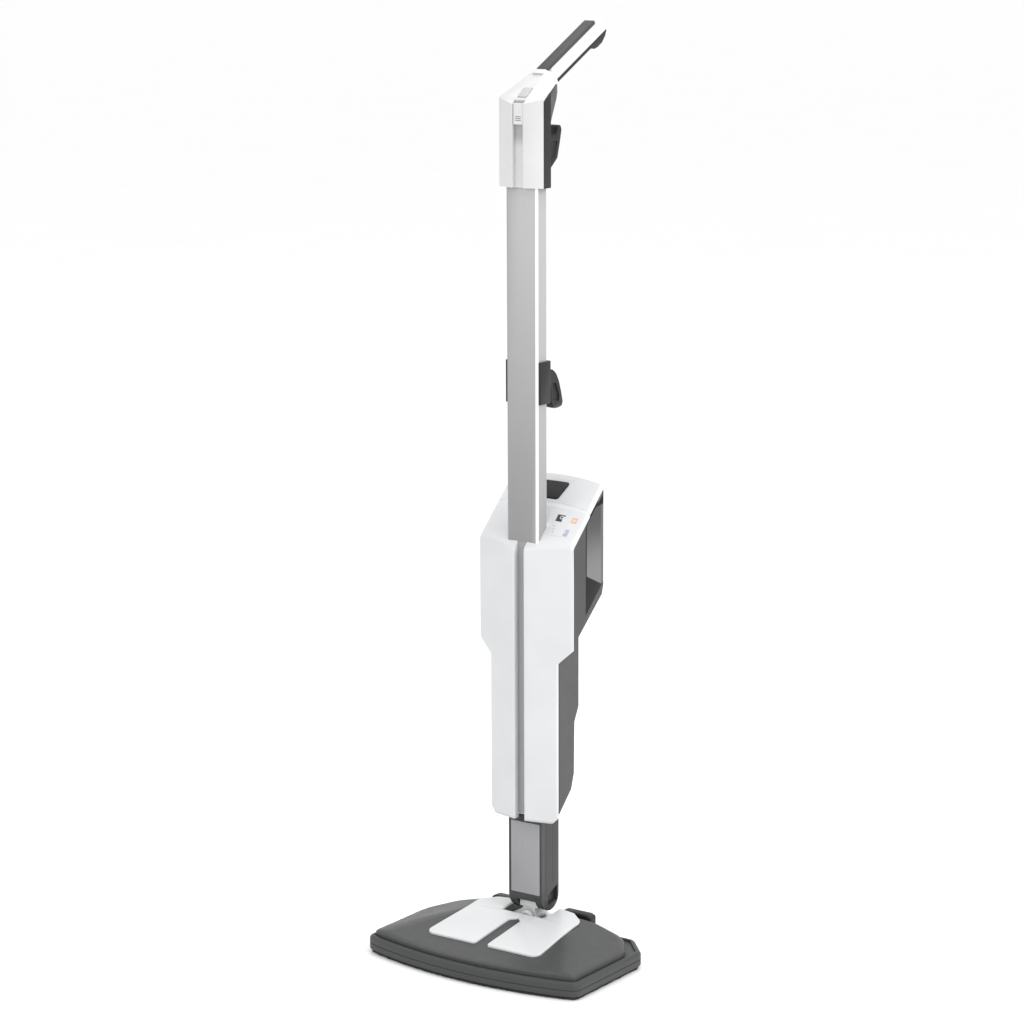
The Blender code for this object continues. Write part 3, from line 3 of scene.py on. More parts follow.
import bmesh
import bpy
import numpy as np
from mathutils import Matrix, Vector
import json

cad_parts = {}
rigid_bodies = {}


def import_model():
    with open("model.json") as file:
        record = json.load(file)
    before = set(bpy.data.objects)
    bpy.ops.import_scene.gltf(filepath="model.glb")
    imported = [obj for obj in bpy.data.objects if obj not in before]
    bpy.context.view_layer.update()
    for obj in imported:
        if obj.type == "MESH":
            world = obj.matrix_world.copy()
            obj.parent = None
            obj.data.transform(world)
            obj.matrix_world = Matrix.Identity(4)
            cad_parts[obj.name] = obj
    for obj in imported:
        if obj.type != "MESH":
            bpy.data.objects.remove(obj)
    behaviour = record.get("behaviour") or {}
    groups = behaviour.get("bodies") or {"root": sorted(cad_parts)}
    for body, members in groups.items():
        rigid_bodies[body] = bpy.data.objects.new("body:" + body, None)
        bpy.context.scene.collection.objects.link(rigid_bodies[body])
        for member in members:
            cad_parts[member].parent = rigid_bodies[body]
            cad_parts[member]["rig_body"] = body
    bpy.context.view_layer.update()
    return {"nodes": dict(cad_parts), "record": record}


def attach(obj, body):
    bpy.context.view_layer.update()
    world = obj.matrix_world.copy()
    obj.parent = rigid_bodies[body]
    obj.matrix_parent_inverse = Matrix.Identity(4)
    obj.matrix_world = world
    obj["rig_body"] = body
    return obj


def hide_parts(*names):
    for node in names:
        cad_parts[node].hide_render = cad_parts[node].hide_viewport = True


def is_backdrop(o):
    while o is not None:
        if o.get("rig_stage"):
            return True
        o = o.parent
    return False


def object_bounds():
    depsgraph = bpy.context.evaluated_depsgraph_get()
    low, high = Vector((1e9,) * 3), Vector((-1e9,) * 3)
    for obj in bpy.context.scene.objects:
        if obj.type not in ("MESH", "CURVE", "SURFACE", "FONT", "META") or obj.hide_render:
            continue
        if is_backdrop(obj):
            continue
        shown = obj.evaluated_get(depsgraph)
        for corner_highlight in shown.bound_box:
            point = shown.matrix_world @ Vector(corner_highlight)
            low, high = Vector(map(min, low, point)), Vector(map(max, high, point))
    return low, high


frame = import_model()
NODES = frame["nodes"]
SLOPE = math.radians(44.0)   # the sloped top of the body, through the edge point below
EDGE_Y, EDGE_Z = -0.0126, 0.5478
BODY_OF = {name: obj["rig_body"] for name, obj in NODES.items()}


# ---------------------------------------------------------------- camera, light and floor
def make_camera():
    lens = bpy.data.cameras.new("camera")
    lens.lens = 110.85
    lens.sensor_width = 36.0
    camera = bpy.data.objects.new("camera", lens)
    target = Vector((-0.0007, -0.0467, 0.5866))
    camera.location = (2.2603, -3.2219, 1.3759)
    turn = (target - camera.location).to_track_quat("-Z", "Y").to_matrix().to_4x4()
    turn = turn @ Matrix.Rotation(math.radians(-0.212), 4, "Z")
    camera.matrix_world = Matrix.Translation(camera.location) @ turn
    bpy.context.scene.collection.objects.link(camera)
    bpy.context.scene.camera = camera


def make_light(name, place, aim, power, size):
    lamp = bpy.data.lights.new(name, "AREA")
    lamp.energy = power
    lamp.shape = "RECTANGLE"
    lamp.size, lamp.size_y = size
    light = bpy.data.objects.new(name, lamp)
    turn = (Vector(aim) - Vector(place)).to_track_quat("-Z", "Y").to_matrix().to_4x4()
    light.matrix_world = Matrix.Translation(place) @ turn
    bpy.context.scene.collection.objects.link(light)


def make_studio():
    make_camera()
    world = bpy.data.worlds.new("studio")
    world.use_nodes = True
    world.node_tree.nodes["Background"].inputs["Color"].default_value = (1.0, 1.0, 1.0, 1.0)
    world.node_tree.nodes["Background"].inputs["Strength"].default_value = 1.08
    scene = bpy.context.scene
    scene.world = world
    scene.view_settings.view_transform = "Standard"
    make_light("side_box", (3.2, -0.4, 2.2), (0.0, 0.0, 0.6), 62.0, (1.6, 2.4))
    make_light("front_box", (-1.2, -3.4, 2.2), (0.0, 0.0, 0.6), 14.0, (1.6, 2.2))
    make_light("top_box", (0.0, 0.6, 3.4), (0.0, 0.0, 0.3), 30.0, (2.4, 2.4))
    bpy.ops.mesh.primitive_plane_add(size=60.0)
    floor = bpy.context.object
    floor.name = "floor"
    floor.data.materials.append(studio_floor())
    floor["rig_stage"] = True


# ---------------------------------------------------------------- shader values
class Value:
    """One value in a shader tree, with the sums that a pattern needs."""

    def __init__(self, tree, socket=None):
        self.tree = tree
        self.socket = socket

    def node(self, kind, settings=None, inputs=None, output=0):
        made = self.tree.nodes.new(kind)
        for key, value in (settings or {}).items():
            setattr(made, key, value)
        for key, value in (inputs or {}).items():
            self.put(made.inputs[key], value)
        return Value(self.tree, made.outputs[output])

    def put(self, socket, value):
        if isinstance(value, Value):
            self.tree.links.new(value.socket, socket)
        else:
            socket.default_value = value

    def sum(self, operation, other=0.0, third=None):
        inputs = {0: self, 1: other}
        if third is not None:
            inputs[2] = third
        return self.node("ShaderNodeMath", {"operation": operation}, inputs)

    def __add__(self, other):
        return self.sum("ADD", other)

    __radd__ = __add__

    def __mul__(self, other):
        return self.sum("MULTIPLY", other)

    __rmul__ = __mul__

    def __sub__(self, other):
        return self.sum("SUBTRACT", other)

    def __rsub__(self, other):
        return self * -1.0 + other

    def size(self):
        return self.sum("ABSOLUTE")

    def near(self, middle, half, soft):
        """1 within half of the middle, 0 outside."""
        return 1.0 - (self - middle).size().between(half - soft, half + soft)

    def between(self, low, high):
        """0 below low, 1 above high, smooth between."""
        return self.node("ShaderNodeMapRange", {"interpolation_type": "SMOOTHSTEP"},
                         {"Value": self, "From Min": low, "From Max": high})

    def mix(self, first, second):
        """The first colour at 0 and the second at 1."""
        made = self.tree.nodes.new("ShaderNodeMix")
        made.data_type = "RGBA"
        self.put(made.inputs["Factor"], self)
        self.put(made.inputs[6], first)
        self.put(made.inputs[7], second)
        return Value(self.tree, made.outputs[2])


class Finish:
    """A material: a Principled shader fed by patterns on the piece's own coordinates."""

    def __init__(self, name):
        self.material = bpy.data.materials.new(name)
        self.material.use_nodes = True
        tree = self.material.node_tree
        self.shader = tree.nodes["Principled BSDF"]
        self.v = Value(tree)
        self.place = self.v.node("ShaderNodeTexCoord", output=3)
        split = tree.nodes.new("ShaderNodeSeparateXYZ")
        self.v.put(split.inputs[0], self.place)
        self.x, self.y, self.z = [Value(tree, socket) for socket in split.outputs]
        facing = tree.nodes.new("ShaderNodeSeparateXYZ")
        self.v.put(facing.inputs[0], self.v.node("ShaderNodeTexCoord", output=1))
        self.facing_x, self.facing_y, self.facing_z = [Value(tree, socket) for socket in facing.outputs]

    def noise(self, scale, detail=3.0, stretch=(1.0, 1.0, 1.0), rough=0.5):
        at = self.v.node("ShaderNodeMapping", None, {"Vector": self.place, "Scale": stretch})
        return self.v.node("ShaderNodeTexNoise", None,
                           {"Vector": at, "Scale": scale, "Detail": detail, "Roughness": rough})

    def edges(self):
        """1 on the piece's outer edges, 0 elsewhere."""
        return self.v.node("ShaderNodeNewGeometry", output=7).between(0.52, 0.62)

    def set(self, **values):
        for key, value in values.items():
            self.v.put(self.shader.inputs[key.replace("_", " ").title().replace("Ior", "IOR")], value)
        return self

    def bump(self, height, depth, strength=1.0):
        made = self.v.node("ShaderNodeBump", None,
                           {"Height": height, "Distance": depth, "Strength": strength})
        self.v.put(self.shader.inputs["Normal"], made)
        return self


def grey(level):
    return (level, level, level, 1.0)


def moulded(name, colour, rough, grain=2600.0, depth=0.00004, wear=0.35, coat=0.0):
    """Moulded plastic: fine spark-eroded grain, faint flow mottling, rubbed edges."""
    f = Finish(name)
    flow = f.noise(14.0, 3.0)
    dust = f.noise(90.0, 4.0)
    base = flow.between(0.3, 0.7).mix(colour, tuple(c * 0.955 for c in colour[:3]) + (1.0,))
    rubbed = tuple(min(1.0, c * 1.25 + 0.012) for c in colour[:3]) + (1.0,)
    f.set(base_color=(f.edges() * wear).mix(base, rubbed),
          roughness=dust.between(0.25, 0.75) * 0.07 + (rough - 0.035))
    f.shader.inputs["Coat Weight"].default_value = coat
    f.shader.inputs["Specular IOR Level"].default_value = 0.5 if coat else 0.3
    f.bump(f.noise(grain, 2.0) + f.noise(grain * 0.35, 2.0) * 0.6, depth)
    return f.material


def drawn(name, colour, rough, along=(1.0, 1.0, 0.004), scale=2200.0, metallic=1.0):
    """Anodised aluminium with the fine lines of drawing along the piece."""
    f = Finish(name)
    lines = f.noise(scale, 2.0, along)
    cloud = f.noise(9.0, 3.0, (1.0, 1.0, 0.3))
    shade = lines.between(0.3, 0.7).mix(tuple(c * 0.93 for c in colour[:3]) + (1.0,), colour)
    f.set(base_color=cloud.between(0.35, 0.7).mix(shade, colour),
          roughness=lines * 0.10 + cloud * 0.05 + (rough - 0.07))
    f.shader.inputs["Metallic"].default_value = metallic
    f.bump(lines, 0.00002, 0.6)
    return f.material


def studio_floor():
    f = Finish("studio_floor")
    f.set(base_color=f.noise(3.0).mix(grey(0.90), grey(0.92)), roughness=0.55)
    f.shader.inputs["Specular IOR Level"].default_value = 0.2
    return f.material


def tone(level):
    return (level, level, level * 1.01, 1.0)


def smoked():
    """Smoked clear tank: painted light low down where the lit back wall shows through, a dark line in front,
    a lit bar of painted highlight at the rear, the shelf's painted shadow at the foot and the moulded wedge
    under the lid."""
    f = Finish("smoked_tank")
    cloud = f.noise(24.0, 3.0)
    height = f.z + cloud * 0.010 - 0.005
    # painted light: the tank is paler low down, where the lit back wall would show through
    clear = height.between(0.505, 0.575).mix(tone(0.175), tone(0.070))
    # painted highlight: a lit bar along the rear of the tank
    clear = f.y.between(0.0455, 0.0485).mix(clear, tone(0.12))
    # painted shadow of the shelf across the tank's foot
    clear = (f.z + (f.y - 0.016) * 0.457).between(0.4996, 0.5012).mix(tone(0.008), clear)
    clear = f.y.between(0.0140, 0.0152).mix(tone(0.018), clear)
    wedge = (f.z - 0.5861 - (f.y - 0.0275) * 0.158).between(-0.0006, 0.0006)
    patch = f.y.near(0.0450, 0.0050, 0.0008) * (f.z - f.y * 0.9).near(0.5600, 0.0042, 0.0010)
    cap = (f.z - (f.y + 0.0126) * 0.9657).between(0.5403, 0.5420)
    clear = (wedge.sum("MAXIMUM", cap)).mix(clear, tone(0.010))
    f.set(base_color=(patch * wedge).mix(clear, tone(0.11)),
          roughness=f.noise(60.0).between(0.3, 0.7) * 0.06 + 0.12)
    f.shader.inputs["Specular IOR Level"].default_value = 0.14
    f.bump(f.noise(180.0, 2.0), 0.00002)
    return f.material


def pole_finish():
    """Drawn aluminium tube: satin front with a painted reflection that lightens upwards, a painted highlight
    on the right-hand corners, sides painted paler as if lit.
    """
    f = Finish("pole_tube")
    lines = f.noise(2200.0, 2.0, (1.0, 1.0, 0.004))
    # painted reflection: the front (and a little the sides) lightens from bottom to top
    upward_sheen = (f.z + f.noise(5.0) * 0.06).between(0.50, 1.10)
    front = upward_sheen.mix(tone(0.24), tone(0.46))
    # painted light: the sides are paler than the front, as if lit from the side
    side = upward_sheen.mix(tone(0.31), tone(0.38))
    # painted highlight: the right-hand rounded corners almost white, the left-hand ones darker
    corner_highlight = f.facing_x.between(-0.1, 0.1).mix(tone(0.30), tone(0.97))
    turned = f.facing_x.size()
    shade = turned.between(0.86, 0.97).mix(turned.between(0.06, 0.26).mix(front, corner_highlight), side)
    f.set(base_color=(lines.between(0.35, 0.65) * 0.05).mix(shade, tone(0.20)), roughness=lines * 0.10 + 0.34)
    f.shader.inputs["Specular IOR Level"].default_value = 0.35
    f.bump(lines, 0.00002, 0.6)
    return f.material


def neck_finish():
    """Dark neck whose side faces carry a painted highlight for a moulded step behind the front edge and two
    upright grooves darkened with painted shade.
    """
    f = Finish("neck_plastic")
    side = f.x.size().between(0.0252, 0.0256)
    groove_and_shade = f.y.near(-0.0128, 0.0005, 0.0003) + f.y.near(0.0030, 0.0006, 0.0004)
    groove_and_shade = groove_and_shade + f.y.near(0.0085, 0.0006, 0.0004)
    high = f.z.between(0.088, 0.092)
    # painted highlight: a paler band on the side faces where the moulded step behind the front edge would
    # catch the light
    edge = f.y.near(-0.0175, 0.0036, 0.0006)
    base = f.noise(14.0).between(0.3, 0.7).mix(tone(0.036), tone(0.032))
    base = (side * edge * 0.6).mix(base, tone(0.060))
    # painted shade: the grooves are darkened as well as bumped in
    f.set(base_color=(side * groove_and_shade * high).mix(base, tone(0.012)), roughness=f.noise(90.0) * 0.06 + 0.40)
    f.bump(f.noise(2600.0, 2.0) - side * groove_and_shade * high * 4.0, 0.00005)
    return f.material


def handle_finish():
    """White handle with a grey band painted in the channel where the slider runs."""
    f = Finish("handle_white")
    # a grey band painted in the channel around the slider, ending at z 1.100
    grey_band = f.x.size().between(0.0088, 0.0080) * f.y.between(-0.0300, -0.0290) * f.z.between(1.0425, 1.0600)
    flow = f.noise(14.0).between(0.3, 0.7).mix(tone(0.61), tone(0.58))
    f.set(base_color=(grey_band * (1.0 - f.z.between(1.100, 1.104))).mix(flow, tone(0.36)),
          roughness=f.noise(90.0) * 0.07 + 0.31)
    f.bump(f.noise(3200.0, 2.0), 0.000016)
    return f.material


def slider_finish():
    """White slider with three small dark ridges below its middle."""
    f = Finish("slider_white")
    ridges = f.z.near(1.0772, 0.0005, 0.0003) + f.z.near(1.0795, 0.0005, 0.0003)
    ridges = ridges + f.z.near(1.0818, 0.0005, 0.0003)
    mark = ridges * f.x.near(0.0, 0.0042, 0.0006)
    flow = f.noise(40.0).between(0.3, 0.7).mix(tone(0.66), tone(0.63))
    f.set(base_color=mark.mix(flow, tone(0.13)), roughness=f.noise(90.0) * 0.07 + 0.30)
    f.bump(f.noise(3200.0, 2.0) - mark * 3.0, 0.00003)
    return f.material


def label_finish():
    """Printed label with plain generic signs, placed by x and by s, the distance up the slope."""
    f = Finish("label_print")
    s = (f.y - EDGE_Y) * math.cos(SLOPE) + (f.z - EDGE_Z) * math.sin(SLOPE)

    def block(x, up, half_x, half_up):
        return f.x.near(x, half_x, 0.0004) * s.near(up, half_up, 0.0004)

    def disc(x, up, radius):
        away = ((f.x - x) * (f.x - x) + (s - up) * (s - up)).sum("SQRT")
        return 1.0 - away.between(radius - 0.0003, radius + 0.0003)

    print_on = f.noise(30.0).between(0.3, 0.7).mix(tone(0.60), tone(0.58))
    print_on = block(0.0372, 0.0318, 0.0056, 0.0052).mix(print_on, (0.030, 0.032, 0.036, 1.0))
    print_on = (disc(0.0385, 0.0332, 0.0027) - disc(0.0385, 0.0332, 0.0015)).mix(print_on, tone(0.55))
    print_on = disc(0.0465, 0.0235, 0.0050).mix(print_on, (0.045, 0.070, 0.100, 1.0))
    print_on = block(0.0575, 0.0318, 0.0042, 0.0042).mix(print_on, (0.60, 0.38, 0.27, 1.0))
    print_on = disc(0.0575, 0.0318, 0.0024).mix(print_on, (0.66, 0.50, 0.36, 1.0))
    print_on = block(0.0520, 0.0118, 0.0056, 0.0052).mix(print_on, (0.34, 0.36, 0.47, 1.0))
    print_on = disc(0.0520, 0.0128, 0.0022).mix(print_on, (0.46, 0.48, 0.56, 1.0))
    dots = block(0.0335, 0.0190, 0.0020, 0.0006) + block(0.0345, 0.0150, 0.0020, 0.0006)
    dots = dots + disc(0.0355, 0.0100, 0.0013)
    f.set(base_color=dots.mix(print_on, tone(0.42)), roughness=f.noise(90.0) * 0.06 + 0.36)
    f.bump(f.noise(900.0, 2.0), 0.00001)
    return f.material


FINISHES = {
    "white_shell": lambda: moulded("white_shell", (0.605, 0.612, 0.618, 1.0), 0.33,
                                   3200.0, 0.000016, 0.2, 0.15),
    "grey_shell": lambda: moulded("grey_shell", (0.062, 0.062, 0.064, 1.0), 0.44),
    "dark_plastic": lambda: moulded("dark_plastic", (0.0155, 0.0155, 0.0170, 1.0), 0.42),
    "soft_grip": lambda: moulded("soft_grip", (0.052, 0.052, 0.055, 1.0), 0.66, 900.0, 0.00012),
    "pole_aluminium": lambda: drawn("pole_aluminium", (0.30, 0.30, 0.31, 1.0), 0.34, metallic=0.0),
    "steel": lambda: drawn("steel", (0.55, 0.55, 0.56, 1.0), 0.30, (1.0, 1.0, 1.0), 700.0),
    "smoked_tank": smoked,
    "microfibre": lambda: moulded("microfibre", (0.030, 0.032, 0.034, 1.0), 0.92, 1200.0, 0.0003),
    "brass": lambda: drawn("brass", (0.62, 0.45, 0.20, 1.0), 0.32, (1.0, 1.0, 1.0), 700.0),
    "circuit": lambda: moulded("circuit", (0.02, 0.15, 0.06, 1.0), 0.4),
    "silicone": lambda: moulded("silicone", (0.42, 0.42, 0.40, 1.0), 0.6),
    "button_grey": lambda: moulded("button_grey", (0.45, 0.46, 0.47, 1.0), 0.4),
}
SLOTS = {row["node"]: row["material_slot"] for row in frame["record"]["subparts"]}
OWN_FINISH = {"head_base": "head_rim", "head_cover": "head_cover_grey", "pole": "pole_tube",
              "neck_fork": "neck_plastic", "handle_front_shell": "handle_white",
              "steam_slider": "slider_white", "control_label": "label_print"}
FINISHES.update({"head_rim": lambda: moulded("head_rim", (0.047, 0.048, 0.049, 1.0), 0.46),
                 "head_cover_grey": lambda: moulded("head_cover_grey", (0.052, 0.053, 0.054, 1.0), 0.40)})
FINISHES.update({"pole_tube": pole_finish, "neck_plastic": neck_finish, "handle_white": handle_finish,
                 "slider_white": slider_finish, "label_print": label_finish})
MADE = {}


def finish(slot):
    if slot not in MADE:
        MADE[slot] = FINISHES[slot]()
    return MADE[slot]


# ---------------------------------------------------------------- surfaces
def shown(name, points, faces, node, closed=True):
    """A finished object from points and faces, standing for one node; faces look outwards."""
    mesh = bpy.data.meshes.new(name)
    mesh.from_pydata([tuple(p) for p in points], [], faces)
    work = bmesh.new()
    work.from_mesh(mesh)
    bmesh.ops.remove_doubles(work, verts=work.verts, dist=1e-6)
    if closed and work.calc_volume(signed=True) < 0.0:
        bmesh.ops.reverse_faces(work, faces=work.faces)
    work.to_mesh(mesh)
    work.free()
    obj = bpy.data.objects.new(name, mesh)
    bpy.context.scene.collection.objects.link(obj)
    return adopt(obj, node)


def adopt(obj, node):
    """The object takes a node's place, finish and body."""
    obj.data.materials.clear()
    obj.data.materials.append(finish(OWN_FINISH.get(node, SLOTS[node])))
    obj.data.shade_smooth()
    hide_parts(node)
    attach(obj, BODY_OF[node])
    return obj


def crisp(obj, angle=32.0):
    """Keeps shading from running over edges sharper than the angle."""
    obj.data.set_sharp_from_angle(angle=math.radians(angle))
    return obj


def grid_faces(rows, count, wrap):
    """Quads of a grid of rows by count points; wrap joins the last column to the first."""
    last = count if wrap else count - 1
    return [(row * count + at, row * count + (at + 1) % count, (row + 1) * count + (at + 1) % count,
             (row + 1) * count + at) for row in range(rows - 1) for at in range(last)]


def loft(name, rings, node):
    """Closed skin through rings of points r[i][j], with a flat lid on the first ring and the last."""
    count = len(rings[0])
    faces = grid_faces(len(rings), count, True)
    faces.append(tuple(reversed(range(count))))
    faces.append(tuple(range((len(rings) - 1) * count, len(rings) * count)))
    return crisp(shown(name, np.concatenate(rings), faces, node), 60.0)


def rounded(corners, radii, steps=6):
    """Outline with arcs at its corners: c + b r / sin(h), turned between the tangent points, h half
    the corner."""
    corners = np.array(corners, float)
    radii = np.broadcast_to(radii, len(corners))
    points = []
    for here, before, after, radius in zip(corners, np.roll(corners, 1, 0), np.roll(corners, -1, 0), radii):
        back = (before - here) / np.linalg.norm(before - here)
        on = (after - here) / np.linalg.norm(after - here)
        half = math.acos(max(-1.0, min(1.0, float(back @ on)))) / 2.0
        if radius <= 0.0 or half > 1.55:
            points.append(here)
            continue
        centre = here + (back + on) / np.linalg.norm(back + on) * radius / math.sin(half)
        first = here + back * radius / math.tan(half) - centre
        last = here + on * radius / math.tan(half) - centre
        for share in np.linspace(0.0, 1.0, steps + 1):
            arm = first * (1.0 - share) + last * share
            points.append(centre + arm / np.linalg.norm(arm) * radius)
    return np.array(points)


def inset(outline, distance):
    """Anticlockwise outline moved inwards: p + n d / cos(half the turn)."""
    ahead = np.roll(outline, -1, 0) - outline
    ahead /= np.linalg.norm(ahead, axis=1)[:, None]
    normal = np.stack([-ahead[:, 1], ahead[:, 0]], 1)
    middle = normal + np.roll(normal, 1, 0)
    middle /= np.linalg.norm(middle, axis=1)[:, None]
    return outline + middle * distance / np.clip((middle * normal).sum(1), 0.4, 1.0)[:, None]


def even(outline, step):
    """The outline with points added so that none are further apart than the step."""
    points = []
    for here, after in zip(outline, np.roll(outline, -1, 0)):
        count = max(1, int(np.linalg.norm(after - here) / step))
        points += [here + (after - here) * share for share in np.arange(count) / count]
    return np.array(points)


def smoothstep(value, low, high):
    share = np.clip((value - low) / (high - low), 0.0, 1.0)
    return share * share * (3.0 - 2.0 * share)


def softest(first, second, width):
    """Smooth minimum of two heights."""
    share = np.clip(0.5 + 0.5 * (second - first) / width, 0.0, 1.0)
    return second * (1.0 - share) + first * share - width * share * (1.0 - share)


def slab(name, outline, low, high, edge, node, place):
    """Plate with rounded rims; place(a, b, c) puts outline point (a, b) at height c, arrays in and out."""
    turns = np.linspace(0.0, math.pi / 2.0, 5)
    steps = [(edge * (1.0 - math.sin(t)), low + edge * (1.0 - math.cos(t))) for t in turns]
    steps += [(edge * (1.0 - math.cos(t)), high - edge * (1.0 - math.sin(t))) for t in turns]
    rings = []
    for shift, height in steps:
        ring = inset(outline, shift)
        rings.append(np.stack(place(ring[:, 0], ring[:, 1], np.full(len(ring), height)), 1))
    return loft(name, rings, node)


# ---------------------------------------------------------------- head
HEAD_W, HEAD_NOSE, HEAD_CORNER = 0.165, -0.1695, -0.145
ROOF_LOW, ROOF_SLOPE, ROOF_FRONT = 0.0285, 0.14, -0.162
WELL_HALF = 0.0340       # half width of the well behind which the cover ends
RIM_ROUND = 0.0048       # rounding of the tray's top rim
COVER_ROWS = 61          # points along each column of the cover
COVER_FOOT, COVER_UNDER = 0.0272, 0.0226


def head_outline():
    """Bowed front y = nose + bow (x / w)^2, straight sides, tapered rear, soft corners."""
    half = [(HEAD_W * t, HEAD_NOSE + (HEAD_CORNER - HEAD_NOSE) * t * t) for t in np.linspace(0.0, 0.86, 7)]
    half += [(HEAD_W, HEAD_CORNER + 0.0012), (HEAD_W, 0.0030), (0.131, 0.0390), (0.0, 0.0404)]
    corners = half + [(-x, y) for x, y in reversed(half[1:-1])]
    count = len(half)
    radii = np.full(len(corners), 0.030)
    for at, radius in ((7, 0.013), (8, 0.016), (9, 0.014)):
        radii[at] = radius
        radii[len(corners) - at] = radius
    radii[0] = 0.0
    radii[count - 1] = 0.0
    return even(rounded(corners, radii, 10), 0.004)


def head_rim():
    """Lofted tray side: inset and height along the section, rounded top rim, a parting groove half way."""
    outline = head_outline()
    section = [(0.0045, 0.0044), (0.0014, 0.0044), (0.0004, 0.0052), (0.0, 0.0064), (0.0, 0.0124),
               (0.0008, 0.0127), (0.0008, 0.0135), (0.0, 0.0138), (0.0, 0.0183)]
    section += [(RIM_ROUND * (1.0 - math.cos(t)), 0.0184 + RIM_ROUND * math.sin(t))
                for t in np.linspace(0.1, 1.57, 7)]
    section += [(0.0066, 0.0233), (0.0070, 0.0229), (0.0073, 0.0205)]
    rings = []
    for shift, height in section:
        ring = inset(outline, shift)
        rings.append(np.column_stack([ring, np.full(len(ring), height)]))
    return loft("head_rim", rings, "head_base")


def cover_outline():
    """The cover's outline: the head's front 8 mm in, straight sides, corners cut back at the rear."""
    edge = inset(head_outline(), 0.0081)
    front = edge[edge[:, 1] < -0.128]
    front = front[np.argsort(front[:, 0])]
    rear = np.array([(0.1569, -0.0300), (0.1569, -0.0230), (0.130, 0.0150), (0.060, 0.0221), (-0.060, 0.0221),
                     (-0.130, 0.0150), (-0.1569, -0.0230), (-0.1569, -0.0300)])
    soft = rounded(rear, [0.0, 0.026, 0.030, 0.040, 0.040, 0.030, 0.026, 0.0])
    return even(np.concatenate([front, soft]), 0.004)


def roof(x, y):
    """Front plane with raised wings behind the plates, side planes, rear plane; the lowest wins, softly."""
    wide = np.abs(x)
    front = ROOF_LOW + (y - ROOF_FRONT) * ROOF_SLOPE
    wing = 0.0034 * smoothstep(wide, 0.0812, 0.0850) * smoothstep(y, -0.095, -0.026)
    side = 0.0288 + (0.1575 - wide) * 0.245
    rear = 0.0530 - 0.55 * (y + 0.004) * (y > -0.004)
    return softest(softest(front + wing, side, 0.0035), rear, 0.002)


def head_cover():
    """Height field roof(x, y) on columns from the front edge to the rear, rounded down at its outline."""
    outline = cover_outline()
    far = np.abs(outline[:, 0]).max() - 1e-5
    spread = np.sin(np.linspace(-math.pi / 2.0, math.pi / 2.0, 121)) * far
    wells = np.array([WELL_HALF, WELL_HALF + 0.0001])
    columns = np.unique(np.concatenate([spread, wells, -wells]))
    front = outline[outline[:, 1] < -0.07]
    rear = outline[outline[:, 1] >= -0.07]
    front = front[np.argsort(front[:, 0])]
    rear = rear[np.argsort(rear[:, 0])]
    share = (1.0 - np.cos(np.linspace(0.0, math.pi, COVER_ROWS))) / 2.0
    points = []
    for x in columns:
        start = np.interp(x, front[:, 0], front[:, 1])
        end = -0.0252 if abs(x) <= WELL_HALF + 0.00002 else np.interp(x, rear[:, 0], rear[:, 1])
        points.append(np.column_stack([np.full(COVER_ROWS, x), start + (end - start) * share]))
    plan = np.concatenate(points)
    away = np.sqrt(((plan[:, None, :] - outline[None, :, :]) ** 2).sum(2)).min(1)
    top = roof(plan[:, 0], plan[:, 1])
    reach = 0.0050 + 0.8 * np.clip(top - ROOF_LOW, 0.0, 0.01)
    deep = np.clip(reach - away, 0.0, reach)
    fall = np.sqrt(np.clip(1.0 - (deep / reach) ** 2, 0.0, 1.0))
    edge = ROOF_LOW - 0.0014 + (top - ROOF_LOW + 0.0014) * fall
    upper = np.column_stack([plan, np.maximum(edge, COVER_FOOT)])
    lower = np.column_stack([plan, np.full(len(plan), COVER_UNDER)])
    rows = len(columns)
    faces = grid_faces(rows, COVER_ROWS, False)
    count = len(upper)
    faces += [tuple(at + count for at in reversed(face)) for face in faces]
    last = COVER_ROWS - 1
    rim = [row * COVER_ROWS for row in range(rows)]
    rim += [(rows - 1) * COVER_ROWS + at for at in range(1, COVER_ROWS)]
    rim += [row * COVER_ROWS + last for row in range(rows - 2, -1, -1)] + list(range(last - 1, 0, -1))
    for here, after in zip(rim, rim[1:] + rim[:1]):
        faces.append((after, here, here + count, after + count))
    return crisp(shown("head_cover_roof", np.concatenate([upper, lower]), faces, "head_cover"), 40.0)


def cover_plate(side):
    """White plate lying on the front plane, 3 mm proud: z = plane(y) + c."""
    corners = [(0.0090, -0.1210), (0.0880, -0.1210), (0.0810, -0.0300), (0.0810, -0.0120), (0.0600, 0.0040),
               (0.0343, 0.0080), (0.0343, -0.0255), (0.0003, -0.0255), (0.0003, -0.0380), (0.0090, -0.0440)]
    radii = [0.005, 0.011, 0.010, 0.012, 0.011, 0.0028, 0.0011, 0.0005, 0.0, 0.005]
    outline = rounded(corners, radii)
    if side < 0:
        outline = outline[::-1] * (-1.0, 1.0)
    node = "cover_plate_right" if side > 0 else "cover_plate_left"
    return slab(node + "_soft", even(outline, 0.004), -0.0010, 0.00295, 0.0013, node,
                lambda a, b, c: (a, b, ROOF_LOW + (b - ROOF_FRONT) * ROOF_SLOPE + c))


